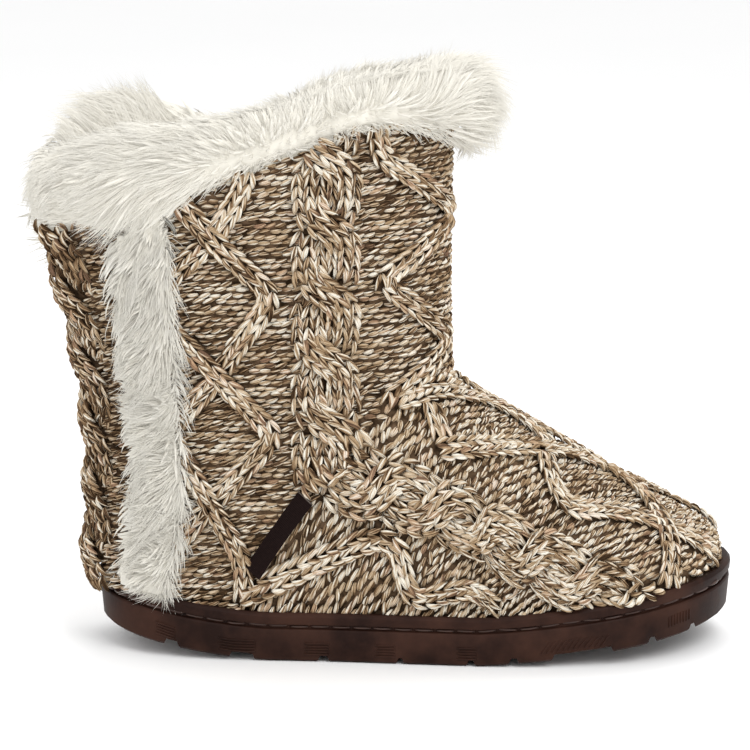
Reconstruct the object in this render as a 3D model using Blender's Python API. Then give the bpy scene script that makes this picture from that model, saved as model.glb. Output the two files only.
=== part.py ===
"""Ankle-high slipper boot for the right foot: knitted upper with pile lining, fur collar and
side strip, on a moulded cup sole. Toe along +X, outer side along -Y, standing on Z = 0."""
import math

import bpy
import bmesh
from mathutils import Vector

mm = 0.001

# Sole
SOLE_LENGTH = 255 * mm
SOLE_WALL = 20 * mm  # rim top above the underside, all round
CUP_FLOOR = 9 * mm  # bed of the cup above the underside
RIM_THICKNESS = 3.2 * mm
HEEL_RISE = 11 * mm  # lift of the underside at the very back
HEEL_CURVE = 1.35
FLAT_START = 67 * mm  # the underside is level between these two
FLAT_END = 152 * mm
TOE_SPRING = 13.5 * mm
TOE_CURVE = 1.2
LUG_DEPTH = 2.8 * mm
LUG_SLOPE = 1.4 * mm  # run of a lug's sloping side

# Upper
THROAT_HEIGHT = 108 * mm  # where vamp and shaft meet at the front
COLLAR_BACK = 171 * mm
COLLAR_FRONT = 207 * mm
COLLAR_CREST = 4.5 * mm  # extra height of the collar edge at each side of the front
COLLAR_DROP = 4 * mm  # the inner side of the collar is this much lower
KNIT_PUFF = 2.5 * mm  # the knit swells this far over the rim
UPPER_WALL = 8 * mm  # 3 mm of knit and 5 mm of lining pile
SHAFT_POWER = 2.25  # 2 is an ellipse, more is squarer

# Pile trims
STRIP_WIDTH = 25 * mm
STRIP_DEPTH = 8 * mm

# Insole and tab
INSOLE_THICKNESS = 4 * mm
TAB_LENGTH = 34 * mm
TAB_WIDTH = 8.5 * mm
TAB_THICKNESS = 1.4 * mm
TAB_FOOT = (63 * mm, 39 * mm)  # x and height of its lower end on the outer side
TAB_HEAD = (82 * mm, 67 * mm)

GAP = 0.3 * mm
AROUND = 64  # corners in each ring

# Outline of the sole: station, outer and inner half width, in mm.
OUTLINE = [
    {"x": 5, "outer": 17, "inner": 17},
    {"x": 16, "outer": 28, "inner": 28},
    {"x": 34, "outer": 34.5, "inner": 34},
    {"x": 60, "outer": 37, "inner": 35.5},
    {"x": 95, "outer": 39.5, "inner": 35},
    {"x": 130, "outer": 43.5, "inner": 38},
    {"x": 165, "outer": 47, "inner": 45},
    {"x": 190, "outer": 47.5, "inner": 48},
    {"x": 213, "outer": 44, "inner": 47.5},
    {"x": 233, "outer": 34, "inner": 42},
    {"x": 247, "outer": 19.5, "inner": 30},
    {"x": 253.6, "outer": 4, "inner": 17},
]
TOE_TIP_Y = 7 * mm

# Sole wall from the underside up and over the rim: offset from the outline and height, in mm.
SOLE_PROFILE = [
    {"out": -2.6, "up": 0.0},
    {"out": -1.0, "up": 1.1},
    {"out": 0.0, "up": 12.6},
    {"out": -0.4, "up": 13.4},
    {"out": -1.8, "up": 13.7},
    {"out": -1.8, "up": 15.1},
    {"out": 0.1, "up": 15.5},
    {"out": 0.4, "up": 18.6},
    {"out": -0.7, "up": 20.0},
    {"out": -3.0, "up": 20.0},
    {"out": -3.2, "up": 9.0},
]

# Gaps between the lugs along the sole, in mm.
LUG_GAPS = [
    {"start": 27, "end": 34},
    {"start": 53, "end": 64},
    {"start": 88, "end": 93.5},
    {"start": 119, "end": 123},
    {"start": 146.5, "end": 151},
    {"start": 163, "end": 168},
    {"start": 180, "end": 205},
    {"start": 218, "end": 222.5},
    {"start": 235, "end": 239},
]

# Sections of the upper. "level" counts 0 at the cup floor, 1 at the rim, 2 at the throat and 3 at
# the collar edge. "heel" and "toe" are the ends in mm, "puff" is the share of KNIT_PUFF,
# "half" is the shaft's half width in mm and "shaft" the share of shaft oval in the ring.
SECTIONS = [
    {"level": 0.0, "heel": 3.5, "toe": 251.5, "puff": 0.0, "half": 40, "shaft": 0.0},
    {"level": 1.0, "heel": 3.5, "toe": 251.5, "puff": 0.0, "half": 40, "shaft": 0.0},
    {"level": 1.012, "heel": 3.3, "toe": 251.5, "puff": 0.05, "half": 40, "shaft": 0.0},
    {"level": 1.05, "heel": 1.2, "toe": 250.7, "puff": 0.7, "half": 40, "shaft": 0.0},
    {"level": 1.10, "heel": -0.9, "toe": 249.0, "puff": 1.0, "half": 40, "shaft": 0.02},
    {"level": 1.17, "heel": -2.0, "toe": 244.6, "puff": 1.0, "half": 40, "shaft": 0.05},
    {"level": 1.25, "heel": -2.2, "toe": 235.0, "puff": 1.0, "half": 39.5, "shaft": 0.11},
    {"level": 1.35, "heel": -2.0, "toe": 222.0, "puff": 1.0, "half": 39, "shaft": 0.2},
    {"level": 1.50, "heel": -1.6, "toe": 204.0, "puff": 1.0, "half": 38, "shaft": 0.38},
    {"level": 1.65, "heel": -1.8, "toe": 183.0, "puff": 1.0, "half": 37.2, "shaft": 0.58},
    {"level": 1.80, "heel": -2.6, "toe": 164.0, "puff": 1.0, "half": 36.6, "shaft": 0.78},
    {"level": 1.90, "heel": -3.2, "toe": 148.5, "puff": 1.0, "half": 36.4, "shaft": 0.91},
    {"level": 2.00, "heel": -4.0, "toe": 141.2, "puff": 1.0, "half": 36.2, "shaft": 1.0},
    {"level": 2.10, "heel": -5.0, "toe": 139.8, "puff": 1.0, "half": 36.4, "shaft": 1.0},
    {"level": 2.30, "heel": -7.4, "toe": 139.4, "puff": 1.0, "half": 37, "shaft": 1.0},
    {"level": 2.50, "heel": -10.4, "toe": 139.2, "puff": 1.0, "half": 37.6, "shaft": 1.0},
    {"level": 2.75, "heel": -14.8, "toe": 139.4, "puff": 1.0, "half": 38.2, "shaft": 1.0},
    {"level": 3.00, "heel": -19.6, "toe": 140.0, "puff": 1.0, "half": 38.6, "shaft": 1.0},
]
# Levels at which the upper gets a ring.
RING_LEVELS = [0.0, 0.5, 1.0, 1.012, 1.05, 1.10, 1.17, 1.25, 1.35, 1.43, 1.5, 1.58, 1.65, 1.73,
               1.8, 1.86, 1.91, 1.96, 2.0, 2.05, 2.12, 2.25, 2.4, 2.55, 2.7, 2.85, 3.0]

# The roll of pile on the collar edge, by station: half width, half height and outward lean, in mm.
COLLAR_ROLL = [
    {"x": -20, "half_width": 12, "half_height": 15, "lean": -4.5},
    {"x": 8, "half_width": 12, "half_height": 18, "lean": -2},
    {"x": 40, "half_width": 11.5, "half_height": 14.5, "lean": 0},
    {"x": 75, "half_width": 11, "half_height": 10.5, "lean": 0.5},
    {"x": 105, "half_width": 11, "half_height": 9.5, "lean": 1},
    {"x": 140, "half_width": 12.5, "half_height": 13, "lean": 5},
]

# Middle line of the fur strip on the outer side, in mm.
STRIP_LINE = [
    {"level": 1.012, "x": 21},
    {"level": 1.3, "x": 24},
    {"level": 1.6, "x": 27},
    {"level": 2.1, "x": 25},
    {"level": 2.6, "x": 21},
    {"level": 3.0, "x": 16},
]


def material(name, colour, roughness):
    made = bpy.data.materials.new(name)
    made.use_nodes = True
    shader = made.node_tree.nodes["Principled BSDF"]
    shader.inputs["Base Color"].default_value = (*colour, 1)
    shader.inputs["Roughness"].default_value = roughness
    shader.inputs["Metallic"].default_value = 0
    return made


def read(table, key, column, at):
    """Value of a column at a place between rows, on a smooth curve that keeps to the rows' range."""
    rows = sorted(table, key=lambda row: row[key])
    places = [row[key] for row in rows]
    values = [row[column] for row in rows]
    if at <= places[0]:
        return values[0]
    if at >= places[-1]:
        return values[-1]
    index = max(i for i, place in enumerate(places[:-1]) if place <= at)
    slopes = [(values[i + 1] - values[i]) / (places[i + 1] - places[i]) for i in range(len(rows) - 1)]

    def tangent(i):
        if i == 0:
            return slopes[0]
        if i == len(rows) - 1:
            return slopes[-1]
        before, after = slopes[i - 1], slopes[i]
        if before * after <= 0:
            return 0.0
        return 2 * before * after / (before + after)

    span = places[index + 1] - places[index]
    t = (at - places[index]) / span
    rise = values[index + 1] - values[index]
    start, end = tangent(index) * span, tangent(index + 1) * span
    curve = (3 * rise - 2 * start - end) * t * t + (start + end - 2 * rise) * t ** 3
    return values[index] + start * t + curve


def underside(x):
    """Height of the sole's underside: level in the middle, lifted at heel and toe."""
    if x < FLAT_START:
        return HEEL_RISE * ((FLAT_START - x) / FLAT_START) ** HEEL_CURVE
    if x > FLAT_END:
        return TOE_SPRING * ((x - FLAT_END) / (SOLE_LENGTH - FLAT_END)) ** TOE_CURVE
    return 0.0


def smooth_loop(corners, steps):
    """Closed Catmull-Rom curve through the corners."""
    count = len(corners)
    points = []
    for i in range(count):
        a, b, c, d = (corners[(i + k - 1) % count] for k in range(4))
        for step in range(steps):
            t = step / steps
            points.append(0.5 * ((2 * b) + (c - a) * t + (2 * a - 5 * b + 4 * c - d) * t * t
                                 + (3 * b - a - 3 * c + d) * t ** 3))
    return points


def sole_loop():
    """The outline, from the middle of the heel along the outer side to the toe and back."""
    outer = [Vector((row["x"] * mm, -row["outer"] * mm)) for row in OUTLINE]
    inner = [Vector((row["x"] * mm, row["inner"] * mm)) for row in reversed(OUTLINE)]
    corners = [Vector((0, 0))] + outer + [Vector((SOLE_LENGTH, TOE_TIP_Y))] + inner
    return smooth_loop(corners, 14)


LOOP = sole_loop()


def offset_sides(out):
    """Both sides of the outline moved out, each from heel to toe, as lists of points."""
    count = len(LOOP)
    moved = []
    for i, point in enumerate(LOOP):
        along = (LOOP[(i + 1) % count] - LOOP[i - 1]).normalized()
        moved.append(point + Vector((along.y, -along.x)) * out)
    heel = min(range(count), key=lambda i: moved[i].x)
    toe = max(range(count), key=lambda i: moved[i].x)
    turned = moved[heel:] + moved[:heel]
    toe = (toe - heel) % count
    return turned[:toe + 1], (turned[toe:] + turned[:1])[::-1]


SIDES = {}


def outline_y(out, share, side):
    """Sideways place on the moved outline at a share of its length; side 0 is the outer one."""
    if out not in SIDES:
        SIDES[out] = offset_sides(out)
    points = SIDES[out][side]
    x = points[0].x + (points[-1].x - points[0].x) * share
    for a, b in zip(points, points[1:]):
        if x <= b.x and b.x > a.x:
            return a.y + (b.y - a.y) * max(0.0, (x - a.x) / (b.x - a.x))
    return points[-1].y


def outline_ends(out):
    outline_y(out, 0.5, 0)
    return SIDES[out][0][0].x, SIDES[out][0][-1].x


def ring_shares():
    """Share of the length and side for each corner of a ring, heel first, outer side first."""
    for k in range(AROUND):
        turn = 2 * math.pi * k / AROUND
        yield (1 - math.cos(turn)) / 2, 0 if k <= AROUND // 2 else 1


def sole_ring(out, up):
    start, end = outline_ends(out)
    ring = []
    for share, side in ring_shares():
        x = start + (end - start) * share
        ring.append(Vector((x, outline_y(out, share, side), underside(x) + up)))
    return ring


def ease(value):
    value = min(1.0, max(0.0, value))
    return value * value * (3 - 2 * value)


def collar_edge(x, y):
    """Height of the collar edge: low behind, rising to a crest beside the front."""
    climb = ease((x + 14 * mm) / (124 * mm))
    crest = math.exp(-((x - 113 * mm) / (20 * mm)) ** 2)
    drop = ease((y + 30 * mm) / (60 * mm))
    return COLLAR_BACK + (COLLAR_FRONT - COLLAR_BACK) * climb + COLLAR_CREST * crest - COLLAR_DROP * drop


def level_height(x, y, level):
    """Height of a level above the floor."""
    rim = underside(min(max(x, 0.0), SOLE_LENGTH)) + SOLE_WALL
    bed = rim - SOLE_WALL + CUP_FLOOR + GAP
    if level <= 1:
        return bed + (rim - bed) * level
    if level <= 2:
        return rim + (THROAT_HEIGHT - rim) * (level - 1)
    return THROAT_HEIGHT + (collar_edge(x, y) - THROAT_HEIGHT) * (level - 2)


def core_point(share, side, level):
    """Point of the upper before the knit's puff: a foot outline that turns into the shaft oval."""
    heel = read(SECTIONS, "level", "heel", level) * mm
    toe = read(SECTIONS, "level", "toe", level) * mm
    blend = read(SECTIONS, "level", "shaft", level)
    half = read(SECTIONS, "level", "half", level) * mm
    foot = outline_y(-RIM_THICKNESS - GAP, share, side)
    oval = half * (1 - abs(2 * share - 1) ** SHAFT_POWER) ** (1 / SHAFT_POWER)
    oval = -oval if side == 0 else oval
    x = heel + (toe - heel) * share
    y = foot * (1 - blend) + oval * blend
    return Vector((x, y, level_height(x, y, level)))


def turn_point(turn, level):
    turn = turn % (2 * math.pi)
    side = 0 if turn <= math.pi else 1
    return core_point((1 - math.cos(turn)) / 2, side, min(max(level, 0.0), 3.0))


def upper_point(turn, level, out):
    """Point of the upper's outer face moved out along the surface's own direction."""
    around = turn_point(turn + 0.04, level) - turn_point(turn - 0.04, level)
    low, high = max(level - 0.03, 1.0), min(level + 0.03, 3.0)
    if level <= 1.03:
        up = Vector((0, 0, 1))
    else:
        up = turn_point(turn, high) - turn_point(turn, low)
    outward = around.cross(up).normalized()
    puff = read(SECTIONS, "level", "puff", level) * KNIT_PUFF
    return turn_point(turn, level) + outward * (puff + out)


def turn_at(x, level):
    """Turn round the ring, on the outer side, at a station along the foot."""
    heel = read(SECTIONS, "level", "heel", level) * mm
    toe = read(SECTIONS, "level", "toe", level) * mm
    share = min(max((x - heel) / (toe - heel), 0.0), 1.0)
    return math.acos(1 - 2 * share)


def add_object(name, mesh_data, finish, sharp=40):
    mesh = bpy.data.meshes.new(name)
    mesh_data.to_mesh(mesh)
    mesh_data.free()
    mesh.materials.append(finish)
    mesh.shade_smooth()
    mesh.set_sharp_from_angle(angle=math.radians(sharp))
    made = bpy.data.objects.new(name, mesh)
    bpy.context.scene.collection.objects.link(made)
    return made


def add_rings(work, rings):
    return [[work.verts.new(point) for point in ring] for ring in rings]


def skin(work, lower, upper):
    """Faces between two closed rings that run counterclockwise from above, facing outwards."""
    count = len(lower)
    for i in range(count):
        j = (i + 1) % count
        work.faces.new((lower[i], lower[j], upper[j], upper[i]))


def ladder(work, ring, facing_up):
    """Closes a ring with rungs from its outer side to its inner side."""
    half = len(ring) // 2
    for i in range(half):
        a, b = ring[i], ring[i + 1]
        c, d = ring[-i - 1], ring[-i]
        corners = [a, b, c, d] if i else [a, b, c]
        if i == half - 1:
            corners = [a, b, d]
        if not facing_up:
            corners.reverse()
        work.faces.new(corners)


def make_outsole(finish):
    work = bmesh.new()
    rings = add_rings(work, [sole_ring(row["out"] * mm, row["up"] * mm) for row in SOLE_PROFILE])
    for lower, upper in zip(rings, rings[1:]):
        skin(work, lower, upper)
    ladder(work, rings[0], facing_up=False)
    ladder(work, rings[-1], facing_up=True)
    sole = add_object("outsole", work, finish, sharp=35)
    for gap in LUG_GAPS:
        cutter = make_gap_cutter(gap["start"] * mm, gap["end"] * mm)
        cut = sole.modifiers.new("lug gap", "BOOLEAN")
        cut.operation = "DIFFERENCE"
        cut.solver = "EXACT"
        cut.object = cutter
    return sole


def make_gap_cutter(start, end):
    """Bar with sloping sides that opens a gap between two lugs right across the sole."""
    reach = 70 * mm
    below = 4 * mm
    steps = 4
    roof = []
    for i in range(steps + 1):
        x = start + LUG_SLOPE + (end - start - 2 * LUG_SLOPE) * i / steps
        roof.append((x, underside(x) + LUG_DEPTH))
    foot = [(end + LUG_SLOPE, underside(end) - below), (start - LUG_SLOPE, underside(start) - below)]
    outline = roof + foot
    work = bmesh.new()
    near = [work.verts.new((x, -reach, z)) for x, z in outline]
    far = [work.verts.new((x, reach, z)) for x, z in outline]
    work.faces.new(near)
    work.faces.new(far[::-1])
    for i in range(len(outline)):
        j = (i + 1) % len(outline)
        work.faces.new((near[j], near[i], far[i], far[j]))
    bmesh.ops.recalc_face_normals(work, faces=work.faces)
    mesh = bpy.data.meshes.new("gap cutter")
    work.to_mesh(mesh)
    work.free()
    cutter = bpy.data.objects.new("gap cutter", mesh)
    bpy.context.scene.collection.objects.link(cutter)
    cutter.hide_render = True
    cutter.display_type = "WIRE"
    return cutter


def upper_ring(level, out):
    return [upper_point(2 * math.pi * k / AROUND, level, out) for k in range(AROUND)]


def make_upper(finish):
    """One hollow wall, open at the collar and underneath."""
    work = bmesh.new()
    outside = add_rings(work, [upper_ring(level, 0) for level in RING_LEVELS])
    inner_rings = [upper_ring(level, -UPPER_WALL) for level in RING_LEVELS]
    for inner, outer in zip(inner_rings[-1], upper_ring(3.0, 0)):
        inner.z = outer.z
    inside = add_rings(work, inner_rings)
    for lower, upper in zip(outside, outside[1:]):
        skin(work, lower, upper)
    for lower, upper in zip(inside, inside[1:]):
        skin(work, upper, lower)
    skin(work, outside[-1], inside[-1])
    skin(work, inside[0], outside[0])
    return add_object("upper", work, finish, sharp=60)


def make_insole(finish):
    work = bmesh.new()
    rim = upper_ring(0.0, -UPPER_WALL - GAP)
    xs = [point.x for point in rim]
    rings = []
    for inset, up in ((1.0 * mm, GAP), (0.0, 1.0 * mm), (0.0, INSOLE_THICKNESS - 1.0 * mm),
                      (1.2 * mm, INSOLE_THICKNESS)):
        ring = []
        for point in rim:
            pull = Vector((point.x - (min(xs) + max(xs)) / 2, point.y)).normalized() * inset
            x = point.x - pull.x
            ring.append(Vector((x, point.y - pull.y, underside(x) + CUP_FLOOR + up)))
        rings.append(ring)
    made = add_rings(work, rings)
    for lower, upper in zip(made, made[1:]):
        skin(work, lower, upper)
    ladder(work, made[0], facing_up=False)
    ladder(work, made[-1], facing_up=True)
    return add_object("insole", work, finish)


def make_collar(finish):
    """Roll of pile that sits on the collar edge and hangs outwards."""
    corners = 10
    outer = upper_ring(3.0, 0)
    inner = upper_ring(3.0, -UPPER_WALL)
    work = bmesh.new()
    sections = []
    for a, b in zip(outer, inner):
        away = Vector((a.x - b.x, a.y - b.y, 0)).normalized()
        middle = (a + b) / 2
        half_width, half_height, lean = (read(COLLAR_ROLL, "x", column, middle.x / mm) * mm
                                         for column in ("half_width", "half_height", "lean"))
        centre = Vector((middle.x, middle.y, a.z + GAP + half_height)) + away * lean
        section = []
        for k in range(corners):
            turn = 2 * math.pi * (k + 0.5) / corners
            section.append(centre + away * (half_width * math.cos(turn))
                           + Vector((0, 0, half_height * math.sin(turn))))
        sections.append(section)
    made = add_rings(work, sections)
    for i, here in enumerate(made):
        skin(work, made[(i + 1) % AROUND], here)
    bmesh.ops.recalc_face_normals(work, faces=work.faces)
    return add_object("fur_collar", work, finish, sharp=80)


def make_strip(finish):
    """Band of pile down the outer side, its back face following the upper."""
    steps_across = 6
    levels = [level for level in RING_LEVELS if level > 1.0]
    levels[-1] -= 0.008
    work = bmesh.new()
    sections = []
    for i, level in enumerate(levels):
        middle = read(STRIP_LINE, "level", "x", level) * mm
        end = min(1.0, 0.35 + 0.65 * min(i, len(levels) - 1 - i) / 2)
        back, front = [], []
        for k in range(steps_across + 1):
            across = 2 * k / steps_across - 1
            turn = turn_at(middle + across * STRIP_WIDTH / 2, level)
            thick = STRIP_DEPTH * end * math.sqrt(max(0.0, 1 - (0.92 * across) ** 2))
            back.append(upper_point(turn, level, 2 * GAP))
            front.append(upper_point(turn, level, 2 * GAP + thick))
        sections.append(back + front[::-1])
    made = add_rings(work, sections)
    for lower, upper in zip(made, made[1:]):
        skin(work, lower, upper)
    work.faces.new(made[0][::-1])
    work.faces.new(made[-1])
    bmesh.ops.recalc_face_normals(work, faces=work.faces)
    return add_object("fur_strip", work, finish, sharp=80)


def outer_at(x, height, out):
    """Point over the outer side of the upper at a station and a height."""
    low, high = 1.02, 2.98
    for _ in range(30):
        level = (low + high) / 2
        if upper_point(turn_at(x, level), level, out).z < height:
            low = level
        else:
            high = level
    return upper_point(turn_at(x, level), level, out)


def make_tab(finish):
    """Folded tab that stands off the seam; one long edge lies near the upper."""
    foot = outer_at(*TAB_FOOT, 2 * GAP)
    head = outer_at(*TAB_HEAD, 2 * GAP)
    along = (head - foot).normalized() * TAB_LENGTH
    away = outer_at((TAB_FOOT[0] + TAB_HEAD[0]) / 2, (TAB_FOOT[1] + TAB_HEAD[1]) / 2, 10 * mm)
    away = (away - (foot + head) / 2)
    across = along.cross(away).normalized()
    away = across.cross(along).normalized()
    lift = (away * 0.55 + across * 0.84).normalized()
    side = lift.cross(along).normalized() * TAB_THICKNESS / 2
    start = foot + away * GAP
    section = [(-0.5, 0.0), (-1.0, 0.1), (-1.0, 0.86), (-0.6, 0.97), (0.6, 0.97), (1.0, 0.86), (1.0, 0.1),
               (0.5, 0.0)]
    work = bmesh.new()
    rings = []
    for end in (0.0, 0.5, 1.0):
        rings.append([start + along * end + side * s + lift * (TAB_WIDTH * t) for s, t in section])
    made = add_rings(work, rings)
    for lower, upper in zip(made, made[1:]):
        skin(work, lower, upper)
    work.faces.new(made[0][::-1])
    work.faces.new(made[-1])
    bmesh.ops.recalc_face_normals(work, faces=work.faces)
    return add_object("label_tab", work, finish)


def centre_on_floor(parts):
    """Moves the whole shoe so that the middle of its box is over the origin."""
    bpy.context.view_layer.update()
    graph = bpy.context.evaluated_depsgraph_get()
    corners = []
    for part in parts:
        seen = part.evaluated_get(graph)
        shape = seen.to_mesh()
        corners += [seen.matrix_world @ vert.co for vert in shape.vertices]
        seen.to_mesh_clear()
    shift = Vector((-(min(c.x for c in corners) + max(c.x for c in corners)) / 2,
                    -(min(c.y for c in corners) + max(c.y for c in corners)) / 2,
                    -min(c.z for c in corners)))
    holder = bpy.data.objects.new("boot", None)
    bpy.context.scene.collection.objects.link(holder)
    holder.location = shift
    for made in bpy.context.scene.objects:
        if made != holder:
            made.parent = holder
    print("moved by", [round(value / mm, 2) for value in shift], "mm")


def main():
    for old in list(bpy.data.objects):
        bpy.data.objects.remove(old, do_unlink=True)
    rubber = material("brown rubber", (0.045, 0.024, 0.018), 0.6)
    board = material("cream sock", (0.8, 0.76, 0.68), 0.9)
    knit = material("marled knit", (0.36, 0.27, 0.19), 0.9)
    pile = material("cream pile", (0.86, 0.83, 0.76), 0.9)
    woven = material("dark woven tab", (0.02, 0.012, 0.01), 0.7)
    parts = [
        make_outsole(rubber),
        make_insole(board),
        make_upper(knit),
        make_collar(pile),
        make_strip(pile),
        make_tab(woven),
    ]
    centre_on_floor(parts)


main()
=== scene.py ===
import math

import bpy
import numpy as np
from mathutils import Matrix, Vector
from mathutils.bvhtree import BVHTree
from mathutils.kdtree import KDTree


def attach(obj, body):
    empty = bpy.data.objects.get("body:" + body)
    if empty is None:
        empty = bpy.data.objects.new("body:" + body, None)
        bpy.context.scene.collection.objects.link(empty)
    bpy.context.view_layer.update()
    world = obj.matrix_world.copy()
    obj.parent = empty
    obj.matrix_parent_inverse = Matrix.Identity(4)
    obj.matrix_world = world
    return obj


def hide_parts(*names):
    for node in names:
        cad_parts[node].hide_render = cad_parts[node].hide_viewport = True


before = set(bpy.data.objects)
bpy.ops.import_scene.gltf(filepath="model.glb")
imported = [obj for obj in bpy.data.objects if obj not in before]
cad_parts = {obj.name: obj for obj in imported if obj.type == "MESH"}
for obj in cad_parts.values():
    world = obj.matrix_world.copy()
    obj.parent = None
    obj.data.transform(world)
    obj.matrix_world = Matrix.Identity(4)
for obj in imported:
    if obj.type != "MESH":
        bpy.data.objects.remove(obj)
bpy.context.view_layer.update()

chance = np.random.default_rng(7)
mm = 0.001      # sizes are in millimetres up to the room, its lamps and the camera, which are in metres


def selectOnly(piece):
    for thing in bpy.context.selected_objects:
        thing.select_set(False)
    if piece:
        piece.select_set(True)
        bpy.context.view_layer.objects.active = piece


def ease(value):
    share = np.clip(value, 0, 1)
    return share * share * (3 - 2 * share)


def unit(vectors):
    return vectors / np.maximum(np.linalg.norm(vectors, axis=-1, keepdims=True), 1e-9)


def distancesAlong(path):
    # how far each point of a path is from its start
    return np.concatenate([[0], np.cumsum(np.linalg.norm(np.diff(path, axis=0), axis=1))])


def readPath(wanted, run, values):
    # what a path's values are at the wanted distances
    return np.stack([np.interp(wanted, run, values[:, k]) for k in range(values.shape[1])], axis=1)


def nodeMesh(name):
    # vertices and triangles of a node of the frame
    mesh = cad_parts[name].data
    points = np.empty(len(mesh.vertices) * 3)
    mesh.vertices.foreach_get("co", points)
    mesh.calc_loop_triangles()
    corners = np.empty(len(mesh.loop_triangles) * 3, dtype=int)
    mesh.loop_triangles.foreach_get("vertices", corners)
    return points.reshape(-1, 3) / mm, corners.reshape(-1, 3)


def treeOf(name):
    points, corners = nodeMesh(name)
    return BVHTree.FromPolygons(points.tolist(), corners.tolist())


def addMesh(name, points, faces, material, replaced):
    # faces is a list of index arrays, each with its own number of corners
    mesh = bpy.data.meshes.new(name)
    mesh.vertices.add(len(points))
    mesh.vertices.foreach_set("co", (np.asarray(points) * mm).ravel())
    loops = np.concatenate([part.ravel() for part in faces])
    sizes = np.concatenate([np.full(len(part), part.shape[1]) for part in faces])
    starts = np.concatenate([[0], np.cumsum(sizes)[:-1]])
    mesh.loops.add(len(loops))
    mesh.loops.foreach_set("vertex_index", loops.astype(np.int32))
    mesh.polygons.add(len(sizes))
    mesh.polygons.foreach_set("loop_start", starts.astype(np.int32))
    mesh.update(calc_edges=True)
    mesh.polygons.foreach_set("use_smooth", np.ones(len(sizes), dtype=bool))
    mesh.materials.append(material)
    piece = bpy.data.objects.new(name, mesh)
    bpy.context.scene.collection.objects.link(piece)
    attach(piece, "root")
    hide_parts(replaced)
    return piece


def copyOfNode(name, pieceName, material):
    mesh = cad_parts[name].data.copy()
    mesh.materials.clear()
    mesh.materials.append(material)
    piece = bpy.data.objects.new(pieceName, mesh)
    bpy.context.scene.collection.objects.link(piece)
    selectOnly(piece)
    bpy.ops.object.mode_set(mode="EDIT")
    bpy.ops.mesh.select_all(action="SELECT")
    bpy.ops.mesh.remove_doubles(threshold=0.05 * mm)
    bpy.ops.object.mode_set(mode="OBJECT")
    if mesh.has_custom_normals:
        bpy.ops.mesh.customdata_custom_splitnormals_clear()
    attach(piece, "root")
    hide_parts(name)
    return piece


def applyModifier(piece, kind, **settings):
    selectOnly(piece)
    modifier = piece.modifiers.new(kind.lower(), kind)
    for key, value in settings.items():
        setattr(modifier, key, value)
    bpy.ops.object.modifier_apply(modifier=modifier.name)


def addLayer(piece, name, values):
    # a number or a vector at every vertex, for the material to read
    single = values.ndim == 1
    layer = piece.data.attributes.new(name, "FLOAT" if single else "FLOAT_VECTOR", "POINT")
    layer.data.foreach_set("value" if single else "vector", values.astype(np.float32).ravel())


def evenTone(piece, tone):
    addLayer(piece, "tone", np.full(len(piece.data.vertices), tone))


def spotsOf(piece):
    return np.array([vertex.co / mm for vertex in piece.data.vertices])


def waysOutOf(piece):
    return np.array([vertex.normal for vertex in piece.data.vertices])


def moveSpots(piece, spots):
    piece.data.vertices.foreach_set("co", (spots * mm).ravel())


def repeatFaces(count, total, *kinds):
    # the same faces again for each copy of a shape with this many vertices
    offset = (np.arange(count) * total)[:, None, None]
    return [(np.array(faces)[None] + offset).reshape(-1, len(faces[0])) for faces in kinds]


def strandFaces(count, rings, sides):
    # the faces of closed strands, whose vertices are their rings in order and then their two tips
    total = rings * sides + 2
    top = (rings - 1) * sides
    quads, ends = [], []
    for k in range(sides):
        after = (k + 1) % sides
        for low in range(0, top, sides):
            quads.append([low + k, low + after, low + sides + after, low + sides + k])
        ends.append([total - 2, after, k])
        ends.append([total - 1, top + k, top + after])
    return repeatFaces(count, total, quads, ends)


class Wire:
    # what comes out of a node, ready for sums
    def __init__(self, finish, socket):
        self.finish = finish
        self.socket = socket

    def __add__(self, other):
        return self.finish.maths("ADD", self, other)

    def __radd__(self, other):
        return self.finish.maths("ADD", other, self)

    def __sub__(self, other):
        return self.finish.maths("SUBTRACT", self, other)

    def __rsub__(self, other):
        return self.finish.maths("SUBTRACT", other, self)

    def __mul__(self, other):
        return self.finish.maths("MULTIPLY", self, other)

    def __rmul__(self, other):
        return self.finish.maths("MULTIPLY", other, self)


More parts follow.
